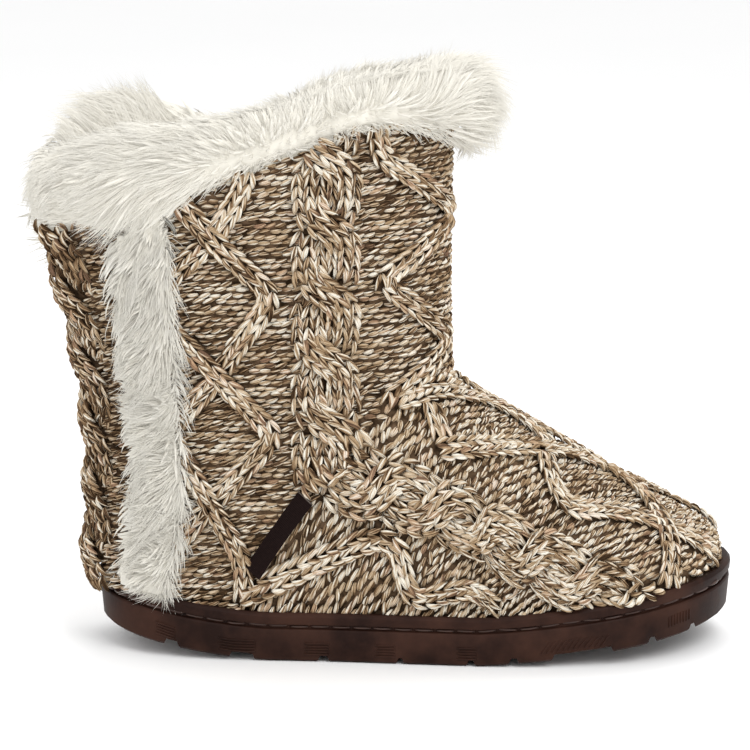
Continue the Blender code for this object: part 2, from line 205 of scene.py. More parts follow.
class Finish:
    # one material, written node by node
    def __init__(self, name):
        self.material = bpy.data.materials.new(name)
        self.material.use_nodes = True
        self.tree = self.material.node_tree
        self.tree.nodes.clear()

    def node(self, kind, settings=None, inputs=None, output=0):
        made = self.tree.nodes.new(kind)
        for key, value in (settings or {}).items():
            if key == "stops":
                ramp = made.color_ramp
                while len(ramp.elements) < len(value):
                    ramp.elements.new(0.5)
                for element, (place, colour) in zip(ramp.elements, value):
                    element.position = place
                    element.color = (*colour, 1)
            else:
                setattr(made, key, value)
        for key, value in (inputs or {}).items():
            if isinstance(value, Wire):
                self.tree.links.new(value.socket, made.inputs[key])
            else:
                made.inputs[key].default_value = value
        return Wire(self, made.outputs[output]) if made.outputs else None

    def maths(self, operation, first, second):
        return self.node("ShaderNodeMath", {"operation": operation}, {0: first, 1: second})

    def wave(self, value):
        return self.node("ShaderNodeMath", {"operation": "SINE"}, {0: value})

    def layer(self, name, output):
        return self.node("ShaderNodeAttribute", {"attribute_name": name}, {}, output)

    def blend(self, first, second, share):
        # a colour is three numbers or a wire
        first, second = (part if isinstance(part, Wire) else (*part, 1) for part in (first, second))
        return self.node("ShaderNodeMix", {"data_type": "RGBA"}, {0: share, 6: first, 7: second}, 2)

    def ramp(self, value, stops):
        return self.node("ShaderNodeValToRGB", {"stops": stops}, {0: value})

    def noise(self, vector, scale, detail=2.0, roughness=0.5):
        inputs = {"Vector": vector, "Scale": scale, "Detail": detail, "Roughness": roughness}
        return self.node("ShaderNodeTexNoise", {}, inputs)

    def stretch(self, value, low, high, start=0.0, end=1.0):
        inputs = {"Value": value, "From Min": low, "From Max": high, "To Min": start, "To Max": end}
        return self.node("ShaderNodeMapRange", {"clamp": True}, inputs)

    def place(self, scale=None):
        place = self.node("ShaderNodeTexCoord", {}, {}, "Object")
        return self.scaled(place, scale) if scale else place

    def scaled(self, vector, scale):
        return self.node("ShaderNodeMapping", {}, {"Vector": vector, "Scale": scale})

    def bump(self, height, strength, distance):
        inputs = {"Height": height, "Strength": strength, "Distance": distance * mm}
        return self.node("ShaderNodeBump", {}, inputs)

    def close(self, colour, rough, gloss, normal=None, glow=0, glowColour=(1, 1, 1)):
        inputs = {"Base Color": colour, "Roughness": rough, "Specular IOR Level": gloss}
        if normal:
            inputs["Normal"] = normal
        if glow:
            inputs["Emission Color"] = (*glowColour, 1)
            inputs["Emission Strength"] = glow
        surface = self.node("ShaderNodeBsdfPrincipled", {}, inputs)
        self.node("ShaderNodeOutputMaterial", {}, {"Surface": surface})
        return self.material


yarnLook = {
    "dark": (0.050, 0.028, 0.014),
    "brown": (0.195, 0.115, 0.060),
    "tan": (0.450, 0.315, 0.185),
    "pale": (0.660, 0.522, 0.362),
    "cream": (0.910, 0.850, 0.730),
    "peach": (0.700, 0.430, 0.290),
    "plyWidth": 1.45,
    "plyTurn": 0.13,      # how far the plies turn in one millimetre of yarn
    "plyContrast": 1.22,
    "fibreContrast": 0.48,
    "runs": 62.0,         # in places the yarn runs plain tan, and its plies differ only this much
    "plain": 0.42,
    "blush": 0.35,        # a few stitches are a little pink
    "rough": 0.88,
    "gloss": 0.04,
}


def yarnFinish(name, lift):
    # marled yarn: each stitch shows two or three plies of its own colours, twisted together
    look = yarnLook
    finish = Finish(name)
    yarn = finish.layer("yarn", "Vector")
    across, along, stitch = (finish.node("ShaderNodeSeparateXYZ", {}, {0: yarn}, k) for k in range(3))
    ply = across * look["plyWidth"] + along * look["plyTurn"]
    plyPlace = finish.node("ShaderNodeCombineXYZ", {}, {0: ply, 1: along * 0.06, 2: stitch})
    plyNoise = finish.noise(plyPlace, 1.15, 0.0)
    fibrePlace = finish.node("ShaderNodeCombineXYZ", {}, {0: ply * 2.6, 1: along * 0.28, 2: stitch})
    fibreNoise = finish.noise(fibrePlace, 1.0, 1.0)
    runs = finish.noise(finish.place((1.0, 1.0, 2.0)), look["runs"])
    steady = finish.stretch(runs, 0.50, 0.64, 1.0, look["plain"])
    marl = (plyNoise - 0.5) * look["plyContrast"] + (fibreNoise - 0.5) * look["fibreContrast"]
    tone = marl * steady + finish.layer("tone", "Fac") + 0.5 + lift
    shades = ("dark", "brown", "tan", "pale", "cream")
    stops = [(place, look[shade]) for place, shade in zip((0.26, 0.38, 0.48, 0.58, 0.72), shades)]
    draw = finish.node("ShaderNodeTexWhiteNoise", {"noise_dimensions": "1D"}, {"W": stitch}, "Value")
    blush = finish.stretch(draw, 0.80, 1.0, 0.0, look["blush"])
    colour = finish.blend(finish.ramp(tone, stops), look["peach"], blush)
    hairs = finish.noise(fibrePlace, 4.5, 2.0, 0.7)
    twist = finish.wave(ply * 5.0)
    return finish.close(colour, look["rough"], look["gloss"], finish.bump(twist + hairs * 0.5, 0.75, 0.6))


class Chart:
    # points and normals of a surface on a grid of two distances along it
    def __init__(self, across, along, points, softening):
        for turn in range(softening):
            points = self.soften(points)
        self.across = across
        self.along = along
        self.points = points
        slopeAcross = np.gradient(points, across, axis=0)
        slopeAlong = np.gradient(points, axis=1)
        self.normals = unit(np.cross(slopeAlong, slopeAcross))
        # true millimetres in one millimetre across the chart
        self.wide = np.clip(np.linalg.norm(slopeAcross, axis=2), 0.6, 1.5)[..., None]

    def soften(self, points):
        mixed = points.copy()
        mixed[1:-1] = (points[:-2] + 2 * points[1:-1] + points[2:]) / 4
        again = mixed.copy()
        again[:, 1:-1] = (mixed[:, :-2] + 2 * mixed[:, 1:-1] + mixed[:, 2:]) / 4
        return again

    def read(self, grid, across, along):
        column = np.interp(across, self.across, np.arange(len(self.across)))
        row = np.interp(along, self.along, np.arange(len(self.along)))
        left = np.minimum(column.astype(int), len(self.across) - 2)
        low = np.minimum(row.astype(int), len(self.along) - 2)
        shareLeft = (column - left)[..., None]
        shareLow = (row - low)[..., None]
        lower = grid[left, low] * (1 - shareLeft) + grid[left + 1, low] * shareLeft
        upper = grid[left, low + 1] * (1 - shareLeft) + grid[left + 1, low + 1] * shareLeft
        return lower * (1 - shareLow) + upper * shareLow

    def spot(self, across, along):
        return self.read(self.points, across, along)

    def lift(self, across, along, height):
        spot = self.spot(across, along)
        normal = unit(self.read(self.normals, across, along))
        return spot + normal * np.asarray(height)[..., None]


upperTree = treeOf("upper")
shaftMap = {
    "axis": -51.0,        # where the middle of the leg is
    "girthAt": 150.0,     # the height at which the leg is measured round
    "low": 12.0,
    "high": 218.0,
    "step": 3.0,
    "reach": 212.0,
    "hang": 4.0,          # the chart runs straight down from here above the rim of the sole
    "fold": 9,            # and where the wall would turn in by more than this
}
vampMap = {
    "pivotX": 33.0,       # the planes of the forefoot fan out from here
    "pivotZ": -70.0,
    "lean": math.radians(45.2),
    "planes": 52,
    "throat": 46,         # height inside the foot that the first plane is measured from
    "fall": 21,           # and how much lower the last plane's is
    "back": -93.0,
    "top": 116,           # how high the walls behind the throat are measured
    "step": 3.0,
    "fine": 1.5,
    "spread": 0.0045,     # how fast the rows part towards the heel
    "reach": 126.0,
    "level": 18.0,        # height at which the rows behind the throat keep their place
    "hang": 4.0,
}


def makeRimTable():
    # height of the rim of the sole along its length
    points = nodeMesh("outsole")[0]
    places = np.linspace(points[:, 0].min(), points[:, 0].max(), 33)
    tops = [points[np.abs(points[:, 0] - place) < 7, 2].max() for place in places]
    return places, np.array(tops)


rimPlaces, rimTops = makeRimTable()


def rimHeight(x):
    return np.interp(x, rimPlaces, rimTops)


def outerHit(outside, inside):
    start = Vector(outside)
    way = Vector(inside) - start
    return upperTree.ray_cast(start, way.normalized(), way.length)[0]


def makeShaftChart():
    # across: distance round the leg from the front midline, outer side positive; along: height
    plan = shaftMap
    turns = np.radians(np.arange(0, 361, 1.0))
    ring = []
    for turn in turns:
        way = np.array([math.cos(turn), -math.sin(turn), 0])
        centre = np.array([plan["axis"], 0, plan["girthAt"]])
        ring.append(np.array(outerHit(centre + way * 200, centre)))
    distance = distancesAlong(ring)
    girth = distance[-1]
    across = np.arange(-plan["reach"], plan["reach"] + 0.1, plan["step"])
    angles = np.interp(across % girth, distance, turns)
    along = np.arange(plan["low"], plan["high"] + 0.1, plan["step"])
    points = np.empty((len(across), len(along), 3))
    middle = int(np.argmin(abs(along - plan["girthAt"])))
    for i, angle in enumerate(angles):
        way = np.array([math.cos(angle), -math.sin(angle), 0])
        for run in (range(middle, len(along)), range(middle - 1, -1, -1)):
            side = 1 if run[0] == middle else -1
            for j in run:
                centre = np.array([plan["axis"], 0, along[j]])
                hit = outerHit(centre + way * 260, centre)
                if j != middle:
                    last = points[i, j - side]
                    low = along[j] < rimHeight(last[0]) + plan["hang"]
                    if hit is None or low or np.dot(np.array(hit) - last, way) < -plan["fold"]:
                        hit = last + np.array([0, 0, side * plan["step"]])
                points[i, j] = hit
    print("shaft girth", round(girth, 1))
    return Chart(across, along, points, 2), girth


def vampSection(origin, up):
    # the arch of the forefoot in one plane, from the ridge down each side, then straight down over the rim
    sides = []
    for side in (-1, 1):
        arch = []
        for turn in np.radians(np.arange(0, 125, 1.5)):
            way = up * math.cos(turn) + np.array([0, side * math.sin(turn), 0])
            hit = outerHit(origin + way * 75, origin)
            if hit is None or (arch and hit.z < rimHeight(hit.x) + vampMap["hang"]):
                break
            arch.append(np.array(hit))
        for fall in range(12):
            arch.append(arch[-1] - np.array([0, 0, vampMap["fine"]]))
        sides.append(np.array(arch))
    return sides


def distanceAt(height, column):
    # how far down a side, from its first point, a height is reached
    order = np.argsort(column[:, 2])
    return np.interp(height, column[order, 2], distancesAlong(column)[order])


def sideWall(x, side):
    # the wall of the upper behind the throat, from the rim up
    plan = vampMap
    wall = []
    for height in np.arange(6, plan["top"], plan["fine"]):
        level = max(height, float(rimHeight(x)) + plan["hang"])
        hit = outerHit((x, side * 120, level), (x, 0, level))
        if hit is None:
            break
        wall.append(np.array([hit.x, hit.y, height]))
    return np.array(wall)


def makeVampChart():
    # across: distance towards the toe; along: distance from the ridge, outer side positive
    plan = vampMap
    along = np.arange(-plan["reach"], plan["reach"] + 0.1, plan["step"])
    rows = []
    for lean in np.linspace(0, plan["lean"], plan["planes"]):
        up = np.array([math.sin(lean), 0, math.cos(lean)])
        start = plan["throat"] - plan["fall"] * lean / plan["lean"] - plan["pivotZ"]
        origin = np.array([plan["pivotX"], 0, plan["pivotZ"]]) + up * start / math.cos(lean)
        outer, inner = vampSection(origin, up)
        rows.append(np.concatenate([readPath(-along[along < 0], distancesAlong(inner), inner),
                                    readPath(along[along >= 0], distancesAlong(outer), outer)]))
    rows = np.array(rows)
    places = distancesAlong(rows[:, len(along) // 2])
    # behind the throat the planes stand upright, and the distance is counted up from the rim
    first = rows[0]
    backRows = []
    backPlaces = np.arange(plan["back"], -1, plan["step"])
    for place in backPlaces:
        spread = 1 - plan["spread"] * place
        row = np.empty_like(first)
        for side, asked in ((-1, along >= 0), (1, along < 0)):
            wall = sideWall(plan["pivotX"] + place, side)
            run = distancesAlong(wall)
            total = distanceAt(plan["level"], first[asked] if side < 0 else first[asked][::-1])
            base = np.interp(plan["level"], wall[:, 2], run)
            row[asked] = readPath(base + (total - np.abs(along[asked])) * spread, run, wall)
        backRows.append(row)
    return Chart(np.concatenate([backPlaces, places]), along, np.concatenate([backRows, rows]), 1)


shaftChart, shaftGirth = makeShaftChart()
vampChart = makeVampChart()
print("charts ready", vampChart.across[-1])

gauge = {
    "wale": 4.3,          # width of one stitch
    "row": 4.6,           # height of one stitch
    "legLength": 7.1,
    "legThick": 1.06,     # half of the yarn's width
    "legAlong": (0.46, 0.54),         # shares of its length behind and ahead of the stitch's middle
    "legApart": (0.05, 0.47),         # how far its ends are from the stitch's middle, in stitch widths
    "legArch": (-0.35, 0.75, -0.95),  # heights of its start, middle and end
    "legBow": 0.30,
    "bumpLength": 5.6,
    "bumpThick": 0.95,
    "bumpArch": (-0.75, 0.35, -0.75),
    "bumpBow": 0.22,
    "ground": -0.9,       # height of the purl ground on the upper's own surface
    "rise": 1.5,          # height of the raised stitches
    "flat": 0.92,         # height of the yarn's section as a share of its width
    "shadeRun": 13.0,     # length of yarn over which its colour changes
}
ringPlaces = np.array([0.12, 0.37, 0.63, 0.88])
ringSides = 5
fineStep = 0.5
# how far, where it starts along the boot, over what length, below what height and over what height
heelBulge = {"far": 3.2, "x": -97, "over": 13, "z": 54, "under": 24}


def heelFill(spots):
    # how far the knit bulges back over the sole at the heel
    plan = heelBulge
    back = ease((plan["x"] - spots[..., 0]) / plan["over"])
    return plan["far"] * back * ease((plan["z"] - spots[..., 2]) / plan["under"])


class Yarns:
    # lens-shaped lengths of yarn, gathered on one chart and made into pieces at the end
    def __init__(self, chart):
        self.chart = chart
        self.rows = []

    def add(self, start, end, bow, heights, thick, tone):
        # start and end are places on the chart; heights are those of the start, middle and end
        count = len(start)
        middle = (start + end) / 2
        wide = self.chart.read(self.chart.wide, middle[:, 0], middle[:, 1])
        half = (end - start) / 2 / np.concatenate([wide, np.ones((count, 1))], axis=1)
        row = np.empty((count, 11))
        row[:, 0:2] = middle - half
        row[:, 2:4] = middle + half
        row[:, 4] = bow
        row[:, 5:8] = heights
        row[:, 8] = thick
        row[:, 9] = tone
        row[:, 10] = chance.uniform(0, 400, count)
        self.rows.append(row)

    def middles(self):
        rows = np.concatenate(self.rows)
        middle = (rows[:, 0:2] + rows[:, 2:4]) / 2
        return rows, self.chart.spot(middle[:, 0], middle[:, 1])

    def keep(self, test):
        rows, spots = self.middles()
        self.rows = [rows[test(rows, spots)]]

    def build(self, name, material, test):
        rows, spots = self.middles()
        rows = rows[test(rows, spots)]
        count = len(rows)
        start, end = rows[:, None, 0:2], rows[:, None, 2:4]
        bow, thick = rows[:, 4][:, None], rows[:, 8][:, None]
        length = np.linalg.norm(end - start, axis=2, keepdims=True)
        way = (end - start) / length
        side = np.stack([way[..., 1], -way[..., 0]], axis=-1)
        places = np.concatenate([[0], ringPlaces, [1]])[None, :]
        hump = 4 * places * (1 - places)
        path = start + way * length * places[..., None] + side * (bow * hump)[..., None]
        # the height runs on a curve through those of the start, middle and end
        first, middle, last = [rows[:, k][:, None] for k in (5, 6, 7)]
        height = (first * (2 * places ** 2 - 3 * places + 1) + middle * hump
                  + last * (2 * places ** 2 - places))
        girth = thick * hump ** 0.5
        turns = np.pi / 2 + np.arange(ringSides) * 2 * np.pi / ringSides
        out = np.cos(turns)[None, None, :] * girth[..., None]
        lift = np.sin(turns)[None, None, :] * girth[..., None] * gauge["flat"]
        ring = slice(1, 1 + len(ringPlaces))
        across = path[:, ring, None, 0] + side[..., None, 0] * out[:, ring]
        along = path[:, ring, None, 1] + side[..., None, 1] * out[:, ring]
        tall = height[:, ring, None] + lift[:, ring]
        rings = self.chart.lift(*(part.reshape(count, -1) for part in (across, along, tall)))
        tips = self.chart.lift(path[:, [0, -1], 0], path[:, [0, -1], 1], height[:, [0, -1]])
        points = np.concatenate([rings, tips], axis=1)
        points[..., 0] -= heelFill(points)
        total = points.shape[1]
        faces = strandFaces(count, len(ringPlaces), ringSides)
        piece = addMesh(name, points.reshape(-1, 3), faces, material, "upper")
        # the material reads the place round the yarn, the distance along it and the yarn's own number
        turned = (turns - np.pi / 2) / (np.pi / 2)
        yarn = np.zeros((count, total, 3))
        yarn[:, :-2, 0] = np.tile(np.where(turned > 2, turned - 4, turned), len(ringPlaces))
        yarn[:, :-2, 1] = np.repeat(ringPlaces, ringSides)[None, :] * length[:, 0]
        yarn[:, -1, 1] = length[:, 0, 0]
        yarn[:, :, 2] = rows[:, 10][:, None]
        addLayer(piece, "yarn", yarn.reshape(-1, 3))
        addLayer(piece, "tone", np.repeat(rows[:, 9], total))
        print(name, count, "yarns", count * 2 * ringSides * len(ringPlaces), "triangles")


class Shades:
    # the yarn changes colour slowly along each course
    def __init__(self, reach, courses):
        self.stops = np.arange(-reach, reach + 1, gauge["shadeRun"])
        self.values = chance.normal(0, 1, (courses, len(self.stops)))

    def read(self, across, course):
        course = np.asarray(course).astype(int) % len(self.values)
        place = np.interp(across, self.stops, np.arange(len(self.stops)))
        left = np.minimum(place.astype(int), len(self.stops) - 2)
        share = place - left
        return self.values[course, left] * (1 - share) + self.values[course, left + 1] * share


def smoothPath(corners, step, rounding=5):
    # a path through the corners with its turns softened, read at even steps
    corners = np.array(corners, dtype=float)
    run = distancesAlong(corners)
    path = readPath(np.arange(0, run[-1], fineStep), run, corners)
    width = int(rounding / fineStep)
    window = np.ones(width * 2 + 1) / (width * 2 + 1)
    for turn in range(2):
        padded = np.concatenate([np.repeat(path[:1], width, 0), path, np.repeat(path[-1:], width, 0)])
        path = np.stack([np.convolve(padded[:, k], window, "valid") for k in (0, 1)], axis=1)
    run = distancesAlong(path)
    return readPath(np.arange(0, run[-1], step), run, path)


def waysOf(path):
    way = unit(np.gradient(path, axis=0))
    return way, np.stack([way[:, 1], -way[:, 0]], axis=1)


def addLegs(yarns, centres, way, left, heights, squeeze, shades):
    # one stitch at each centre: two legs that part in the direction of the way
    plan = gauge
    count = len(centres)
    if count == 0:
        return
    tone = shades.read(centres[:, 0], centres[:, 1] / plan["row"]) * 0.055
    along = way * plan["legLength"]
    behind, ahead = plan["legAlong"]
    foot, tip = plan["legApart"]
    for side in (-1, 1):
        out = left * side * plan["wale"] * squeeze[:, None]
        start = centres - along * behind + out * foot + chance.normal(0, 0.16, (count, 2))
        end = centres + along * ahead + out * tip + chance.normal(0, 0.2, (count, 2))
        arch = heights[:, None] + plan["legArch"] + chance.normal(0, 0.12, (count, 3))
        bow = side * plan["legBow"] + chance.normal(0, 0.15, count)
        thick = plan["legThick"] * chance.uniform(0.88, 1.08, count)
        yarns.add(start, end, bow, arch, thick, tone + chance.normal(0, 0.035, count))


def farFrom(spots, path, distance):
    # true where no point of the path is nearer than the distance
    if path is None or len(path) == 0:
        return np.ones(len(spots), dtype=bool)
    apart = np.linalg.norm(spots[:, None] - path[None], axis=2)
    return apart.min(axis=1) > distance


bandLook = {
    "wales": 2,
    "row": 0.93,          # its stitches are this much shorter and narrower than the gauge
    "wale": 0.92,
    "squeeze": 0.95,
    "clear": 0.95,        # so near a band that crosses above, in stitch widths, it has no stitches
    "lower": 0.3,
    "inset": 0.9,         # how far the ground runs in under its edges
}


def addBand(yarns, corners, shades, above):
    # a raised band of knit stitches that wanders over the ground, and dips under the path above it
    look = bandLook
    wale = gauge["wale"]
    path = smoothPath(corners, gauge["row"] * look["row"])
    way, left = waysOf(path)
    for k in range(look["wales"]):
        centres = path + left * ((k - (look["wales"] - 1) / 2) * wale * look["wale"])
        keep = farFrom(centres, above, wale * look["clear"])
        heights = np.full(keep.sum(), gauge["rise"] - look["lower"])
        squeeze = np.full(keep.sum(), look["squeeze"])
        addLegs(yarns, centres[keep], way[keep], left[keep], heights, squeeze, shades)
    return smoothPath(corners, 1.5), look["wales"] * wale / 2 - look["inset"]


ropeLook = {
    "period": 26.0,       # distance from one crossing to the next, where none are given
    "throw": 6.6,         # how far each strand swings from the middle
    "wales": 3,
    "over": 2.4,          # how high a strand rises at a crossing, and how far it sinks
    "under": -1.8,
    "crown": 1.0,
    "hold": 0.22,         # share of a period in which the strands run straight
    "row": 0.9,
    "squeeze": 0.26,      # how much narrower a slanting strand is
    "hide": 6.4,          # so near the strand above it, the lower strand has no stitches
    "cover": 6.4,         # so near its middle, the ground has none
}


def addRope(yarns, corners, shades, start=0.0, crossings=None, lift=0.0):
    # two strands of knit stitches that take turns to cross over each other
    look = ropeLook
    middle = smoothPath(corners, fineStep, 8)
    way, left = waysOf(middle)
    run = np.arange(len(middle)) * fineStep
    if crossings is None:
        turn = (run + start) / look["period"]
    else:
        turn = np.interp(run, crossings, np.arange(len(crossings)) + 0.5)
    part = ease((turn % 1 - look["hold"]) / (1 - 2 * look["hold"]))
    wave = np.sin(np.pi * (turn % 1))
    strands = []
    for strand in (0, 1):
        first = (np.floor(turn).astype(int) + strand) % 2 == 0
        across = np.where(first, -1 + 2 * part, 1 - 2 * part) * look["throw"]
        depth = wave * np.where(first, look["over"], look["under"])
        strands.append((middle + left * across[:, None], depth))
    crossing = (part > 0.12) & (part < 0.88)
    for strand in (0, 1):
        path, depth = strands[strand]
        otherPath, otherDepth = strands[1 - strand]
        covering = otherPath[(otherDepth > 0) & crossing]
        length = distancesAlong(path)
        even = np.arange(0, length[-1], gauge["row"] * look["row"])
        spots = readPath(even, length, path)
        level = np.interp(even, length, depth)
        strandWay, strandLeft = waysOf(spots)
        slant = np.abs(np.sum(strandWay * readPath(even, length, way), axis=1))
        squeeze = 1 - look["squeeze"] + look["squeeze"] * slant
        for k in range(look["wales"]):
            place = k - (look["wales"] - 1) / 2
            centres = spots + strandLeft * (place * gauge["wale"] * squeeze)[:, None]
            heights = gauge["rise"] + lift + level + look["crown"] * (1 - place ** 2)
            keep = (level > 0) | farFrom(centres, covering, look["hide"])
            addLegs(yarns, centres[keep], strandWay[keep], strandLeft[keep], heights[keep], squeeze[keep],
                    shades)
    return middle[::6], look["cover"]


def addGround(yarns, span, raised, shades, slope, upright=True, thicker=1.0, loose=1.0, under=0):
    # the purl side of the knit: rows of short bumps, each row set half a stitch over
    plan = gauge
    low, high, near, far = span
    order = slice(None, None, 1 if upright else -1)
    rows = []
    for number, course in enumerate(np.arange(near, far, plan["row"] / 2)):
        odd = number % 2
        columns = np.arange(low + plan["wale"] / 2 * odd, high, plan["wale"])
        count = len(columns)
        columns = columns + chance.normal(0, 0.22 * loose, count)
        level = course + chance.normal(0, 0.14 * loose, count)
        half = plan["bumpLength"] / 2 * chance.uniform(1.0 - 0.12 * loose, 1.06, count)
        tilt = chance.normal(slope, 0.12 * loose, count) * half
        start = np.stack([columns - half, level - tilt], axis=1)[:, order]
        end = np.stack([columns + half, level + tilt], axis=1)[:, order]
        bow = (plan["bumpBow"] if odd else -plan["bumpBow"]) + chance.normal(0, 0.12, count)
        tone = shades.read(columns, number // 2) * 0.06 + chance.normal(0, 0.03, count)
        rows.append((start, end, bow, tone))
    starts, ends, bows, tones = (np.concatenate(parts) for parts in zip(*rows))
    middles = (starts + ends) / 2
    clear = np.ones(len(middles), dtype=bool)
    for path, width in raised:
        for spot in path:
            clear &= (np.linalg.norm(middles - spot, axis=1) > width) | (np.abs(middles[:, 1]) < under)
    count = clear.sum()
    heights = plan["ground"] + np.tile(plan["bumpArch"], (count, 1)) + chance.normal(0, 0.12, (count, 3))
    thick = plan["bumpThick"] * thicker * chance.uniform(0.85, 1.08, count)
    yarns.add(starts[clear], ends[clear], bows[clear], heights, thick, tones[clear])


# where the forefoot's knit meets the leg's, and how far the knit hangs over the rim of the sole
seam = {"x": [-58, -29.6, -15, -6, 6, 18, 29, 40], "z": [24, 66, 80, 95, 105.5, 111, 113.5, 115]}
overhang = {"x": [-114, -96, 55, 75, 112, 130], "drop": [6.0, 1.4, 1.4, 0.6, 0.6, 2.2]}


def seamHeight(spots):
    return np.interp(spots[:, 0], seam["x"], seam["z"], left=-50)


def aboveRim(spots):
    return spots[:, 2] > rimHeight(spots[:, 0]) - np.interp(spots[:, 0], overhang["x"], overhang["drop"])


def addBands(yarns, bands, flip, raised, shades):
    # each band on both sides of the boot; where two cross, the later one lies on top
    for side in (1, -1):
        mirror = np.where(flip, side, 1)
        turned = [np.array(band) * mirror for band in bands]
        for i, corners in enumerate(turned):
            above = [smoothPath(later, 1.5) for later in turned[i + 1:]]
            raised.append(addBand(yarns, corners, shades, np.concatenate(above) if above else None))


shaftLayout = {
    # distance round the leg, top, bottom, shift of the crossings and lift
    "ropes": [(69, 214, 60, 3.0, 0), (-69, 214, 60, 3.0, 0), (176, 184, 20, 0.0, -1.4),
              (-176, 184, 20, 13.0, -1.4)],
    # corners of the bands on the outer side, from the top down, as distance round the leg and height
    "bands": [
        [(49, 216), (49, 201), (9, 176), (48, 152), (12, 126), (48, 102), (20, 84)],
        [(98, 208), (100, 189), (112, 169), (148, 138)],
        [(126, 186), (112, 169), (89, 147), (114, 112), (146, 80)],
        [(132, 136), (116, 120), (88, 92), (116, 63), (144, 34)],
        [(134, 94), (116, 64), (102, 42), (102, 22)],
    ],
    "ground": (16, 216),
    "slope": -0.17,
    "above": 1.2,         # how far the knit runs up past the upper's top edge
    "underSeam": 1.0,     # and how far it runs down past the seam of the forefoot
    # the yarn on the panel behind the strip is made darker
    "darkFrom": 136,
    "darker": 0.075,
}


def collarEdge():
    # the height of the upper's top edge round the leg, counted up until a ray misses the wall
    turns = np.radians(np.arange(0, 361, 3))
    heights = []
    for turn in turns:
        way = Vector((math.cos(turn), -math.sin(turn), 0))
        level = shaftMap["girthAt"]
        while level < shaftLayout["ground"][1]:
            centre = Vector((shaftMap["axis"], 0, level + 1.0))
            if upperTree.ray_cast(centre + way * 130, -way, 130)[0] is None:
                break
            level += 1.0
        heights.append(level)
    return turns, np.array(heights)


edgeTurns, edgeHeights = collarEdge()


def edgeHeight(spots):
    turn = np.arctan2(-spots[:, 1], spots[:, 0] - shaftMap["axis"]) % (2 * np.pi)
    return np.interp(turn, edgeTurns, edgeHeights)


def knitShaft():
    plan = shaftLayout
    yarns = Yarns(shaftChart)
    shades = Shades(230, 64)
    raised = []
    for across, top, bottom, start, lift in plan["ropes"]:
        raised.append(addRope(yarns, [(across, top), (across, bottom)], shades, start, lift=lift))
    addBands(yarns, plan["bands"], (True, False), raised, shades)
    half = shaftGirth / 2
    addGround(yarns, (-half, half, *plan["ground"]), raised, shades, plan["slope"])

    def shown(rows, spots):
        inside = np.abs((rows[:, 0] + rows[:, 2]) / 2) <= half
        below = spots[:, 2] < edgeHeight(spots) + plan["above"]
        return inside & below & (spots[:, 2] > seamHeight(spots) - plan["underSeam"]) & aboveRim(spots)

    yarns.keep(shown)
    for rows in yarns.rows:
        rows[:, 9] -= plan["darker"] * ease((np.abs(rows[:, 0] + rows[:, 2]) / 2 - plan["darkFrom"]) / 8)
    yarn = yarnFinish("marledYarn", 0.02)
    yarns.build("shaftKnitOuter", yarn, lambda rows, spots: rows[:, 0] + rows[:, 2] >= 0)
    yarns.build("shaftKnitInner", yarn, lambda rows, spots: rows[:, 0] + rows[:, 2] < 0)


vampLayout = {
    # all places are distances towards the toe and down from the ridge
    "rope": [(-60, 60), (-49, 61), (-37, 62), (-27, 63), (-15, 65), (-6, 67), (6, 70), (19, 68), (35, 66),
             (51, 65), (66, 64), (80, 63), (95, 59), (108, 55)],
    # where the strands of the rope cross, as distances along it
    "crossings": [0, 22, 44, 66, 95, 126, 152],
    "bands": [
        [(-16, 27), (-12, 36), (-10, 43)],
        [(-29, 31), (-23, 27), (-15, 20), (-4, 13), (6, 5), (18, 2), (30, 3), (37, 9), (42, 14)],
        [(-12, 44), (-4, 41), (6, 36), (25, 24), (44, 10), (57, 3), (68, -4)],
        [(36, 20), (40, 32), (46, 38), (51, 41), (65, 33), (78, 26), (92, 22), (106, 22), (120, 15)],
        [(66, 0), (76, 1), (84, 8), (90, 17), (97, 29), (103, 41), (105, 50)],
        [(-90, 103), (-76, 98), (-66, 94), (-55, 89), (-46, 84), (-34, 79), (-28, 81), (-26, 89),
         (-25, 97), (-21, 102), (-11, 98), (1, 95), (16, 92), (22, 94)],
    ],
    "ground": (-96, 132),
    "slope": -0.55,
    "thicker": 1.06,      # the ground's yarn here is this much thicker than the gauge, and less even
    "loose": 1.7,
    "ridge": 13,          # so near the ridge, ground stitches stay under the bands
    "reach": 124,
    "heelEnd": -58,
    "overSeam": 0.5,
}


def knitVamp():
    plan = vampLayout
    yarns = Yarns(vampChart)
    shades = Shades(120, 64)
    raised = []
    for side in (1, -1):
        rope = np.array(plan["rope"]) * (1, side)
        raised.append(addRope(yarns, rope, shades, crossings=plan["crossings"]))
    addBands(yarns, plan["bands"], (False, True), raised, shades)
    addGround(yarns, (-plan["reach"], plan["reach"], *plan["ground"]), raised, shades, plan["slope"],
              upright=False, thicker=plan["thicker"], loose=plan["loose"], under=plan["ridge"])

    def shown(rows, spots):
        reached = np.abs((rows[:, 1] + rows[:, 3]) / 2) < plan["reach"]
        below = spots[:, 2] < seamHeight(spots) + plan["overSeam"]
        return reached & below & (spots[:, 0] > plan["heelEnd"]) & aboveRim(spots)

    yarns.keep(shown)
    yarn = yarnFinish("paleMarledYarn", 0.045)
    yarns.build("vampKnitOuter", yarn, lambda rows, spots: spots[:, 1] <= 0)
    yarns.build("vampKnitInner", yarn, lambda rows, spots: spots[:, 1] > 0)


knitShaft()
knitVamp()


# the backing's dark and light colours are painted shade, seen in the gaps between the stitches
backingShadeLook = {
    "dark": (0.022, 0.013, 0.007),
    "light": (0.120, 0.076, 0.046),
    "sink": 1.2,          # how far it lies under the upper's own surface, but for the ridge of the forefoot
    "ridge": 0.3,
}
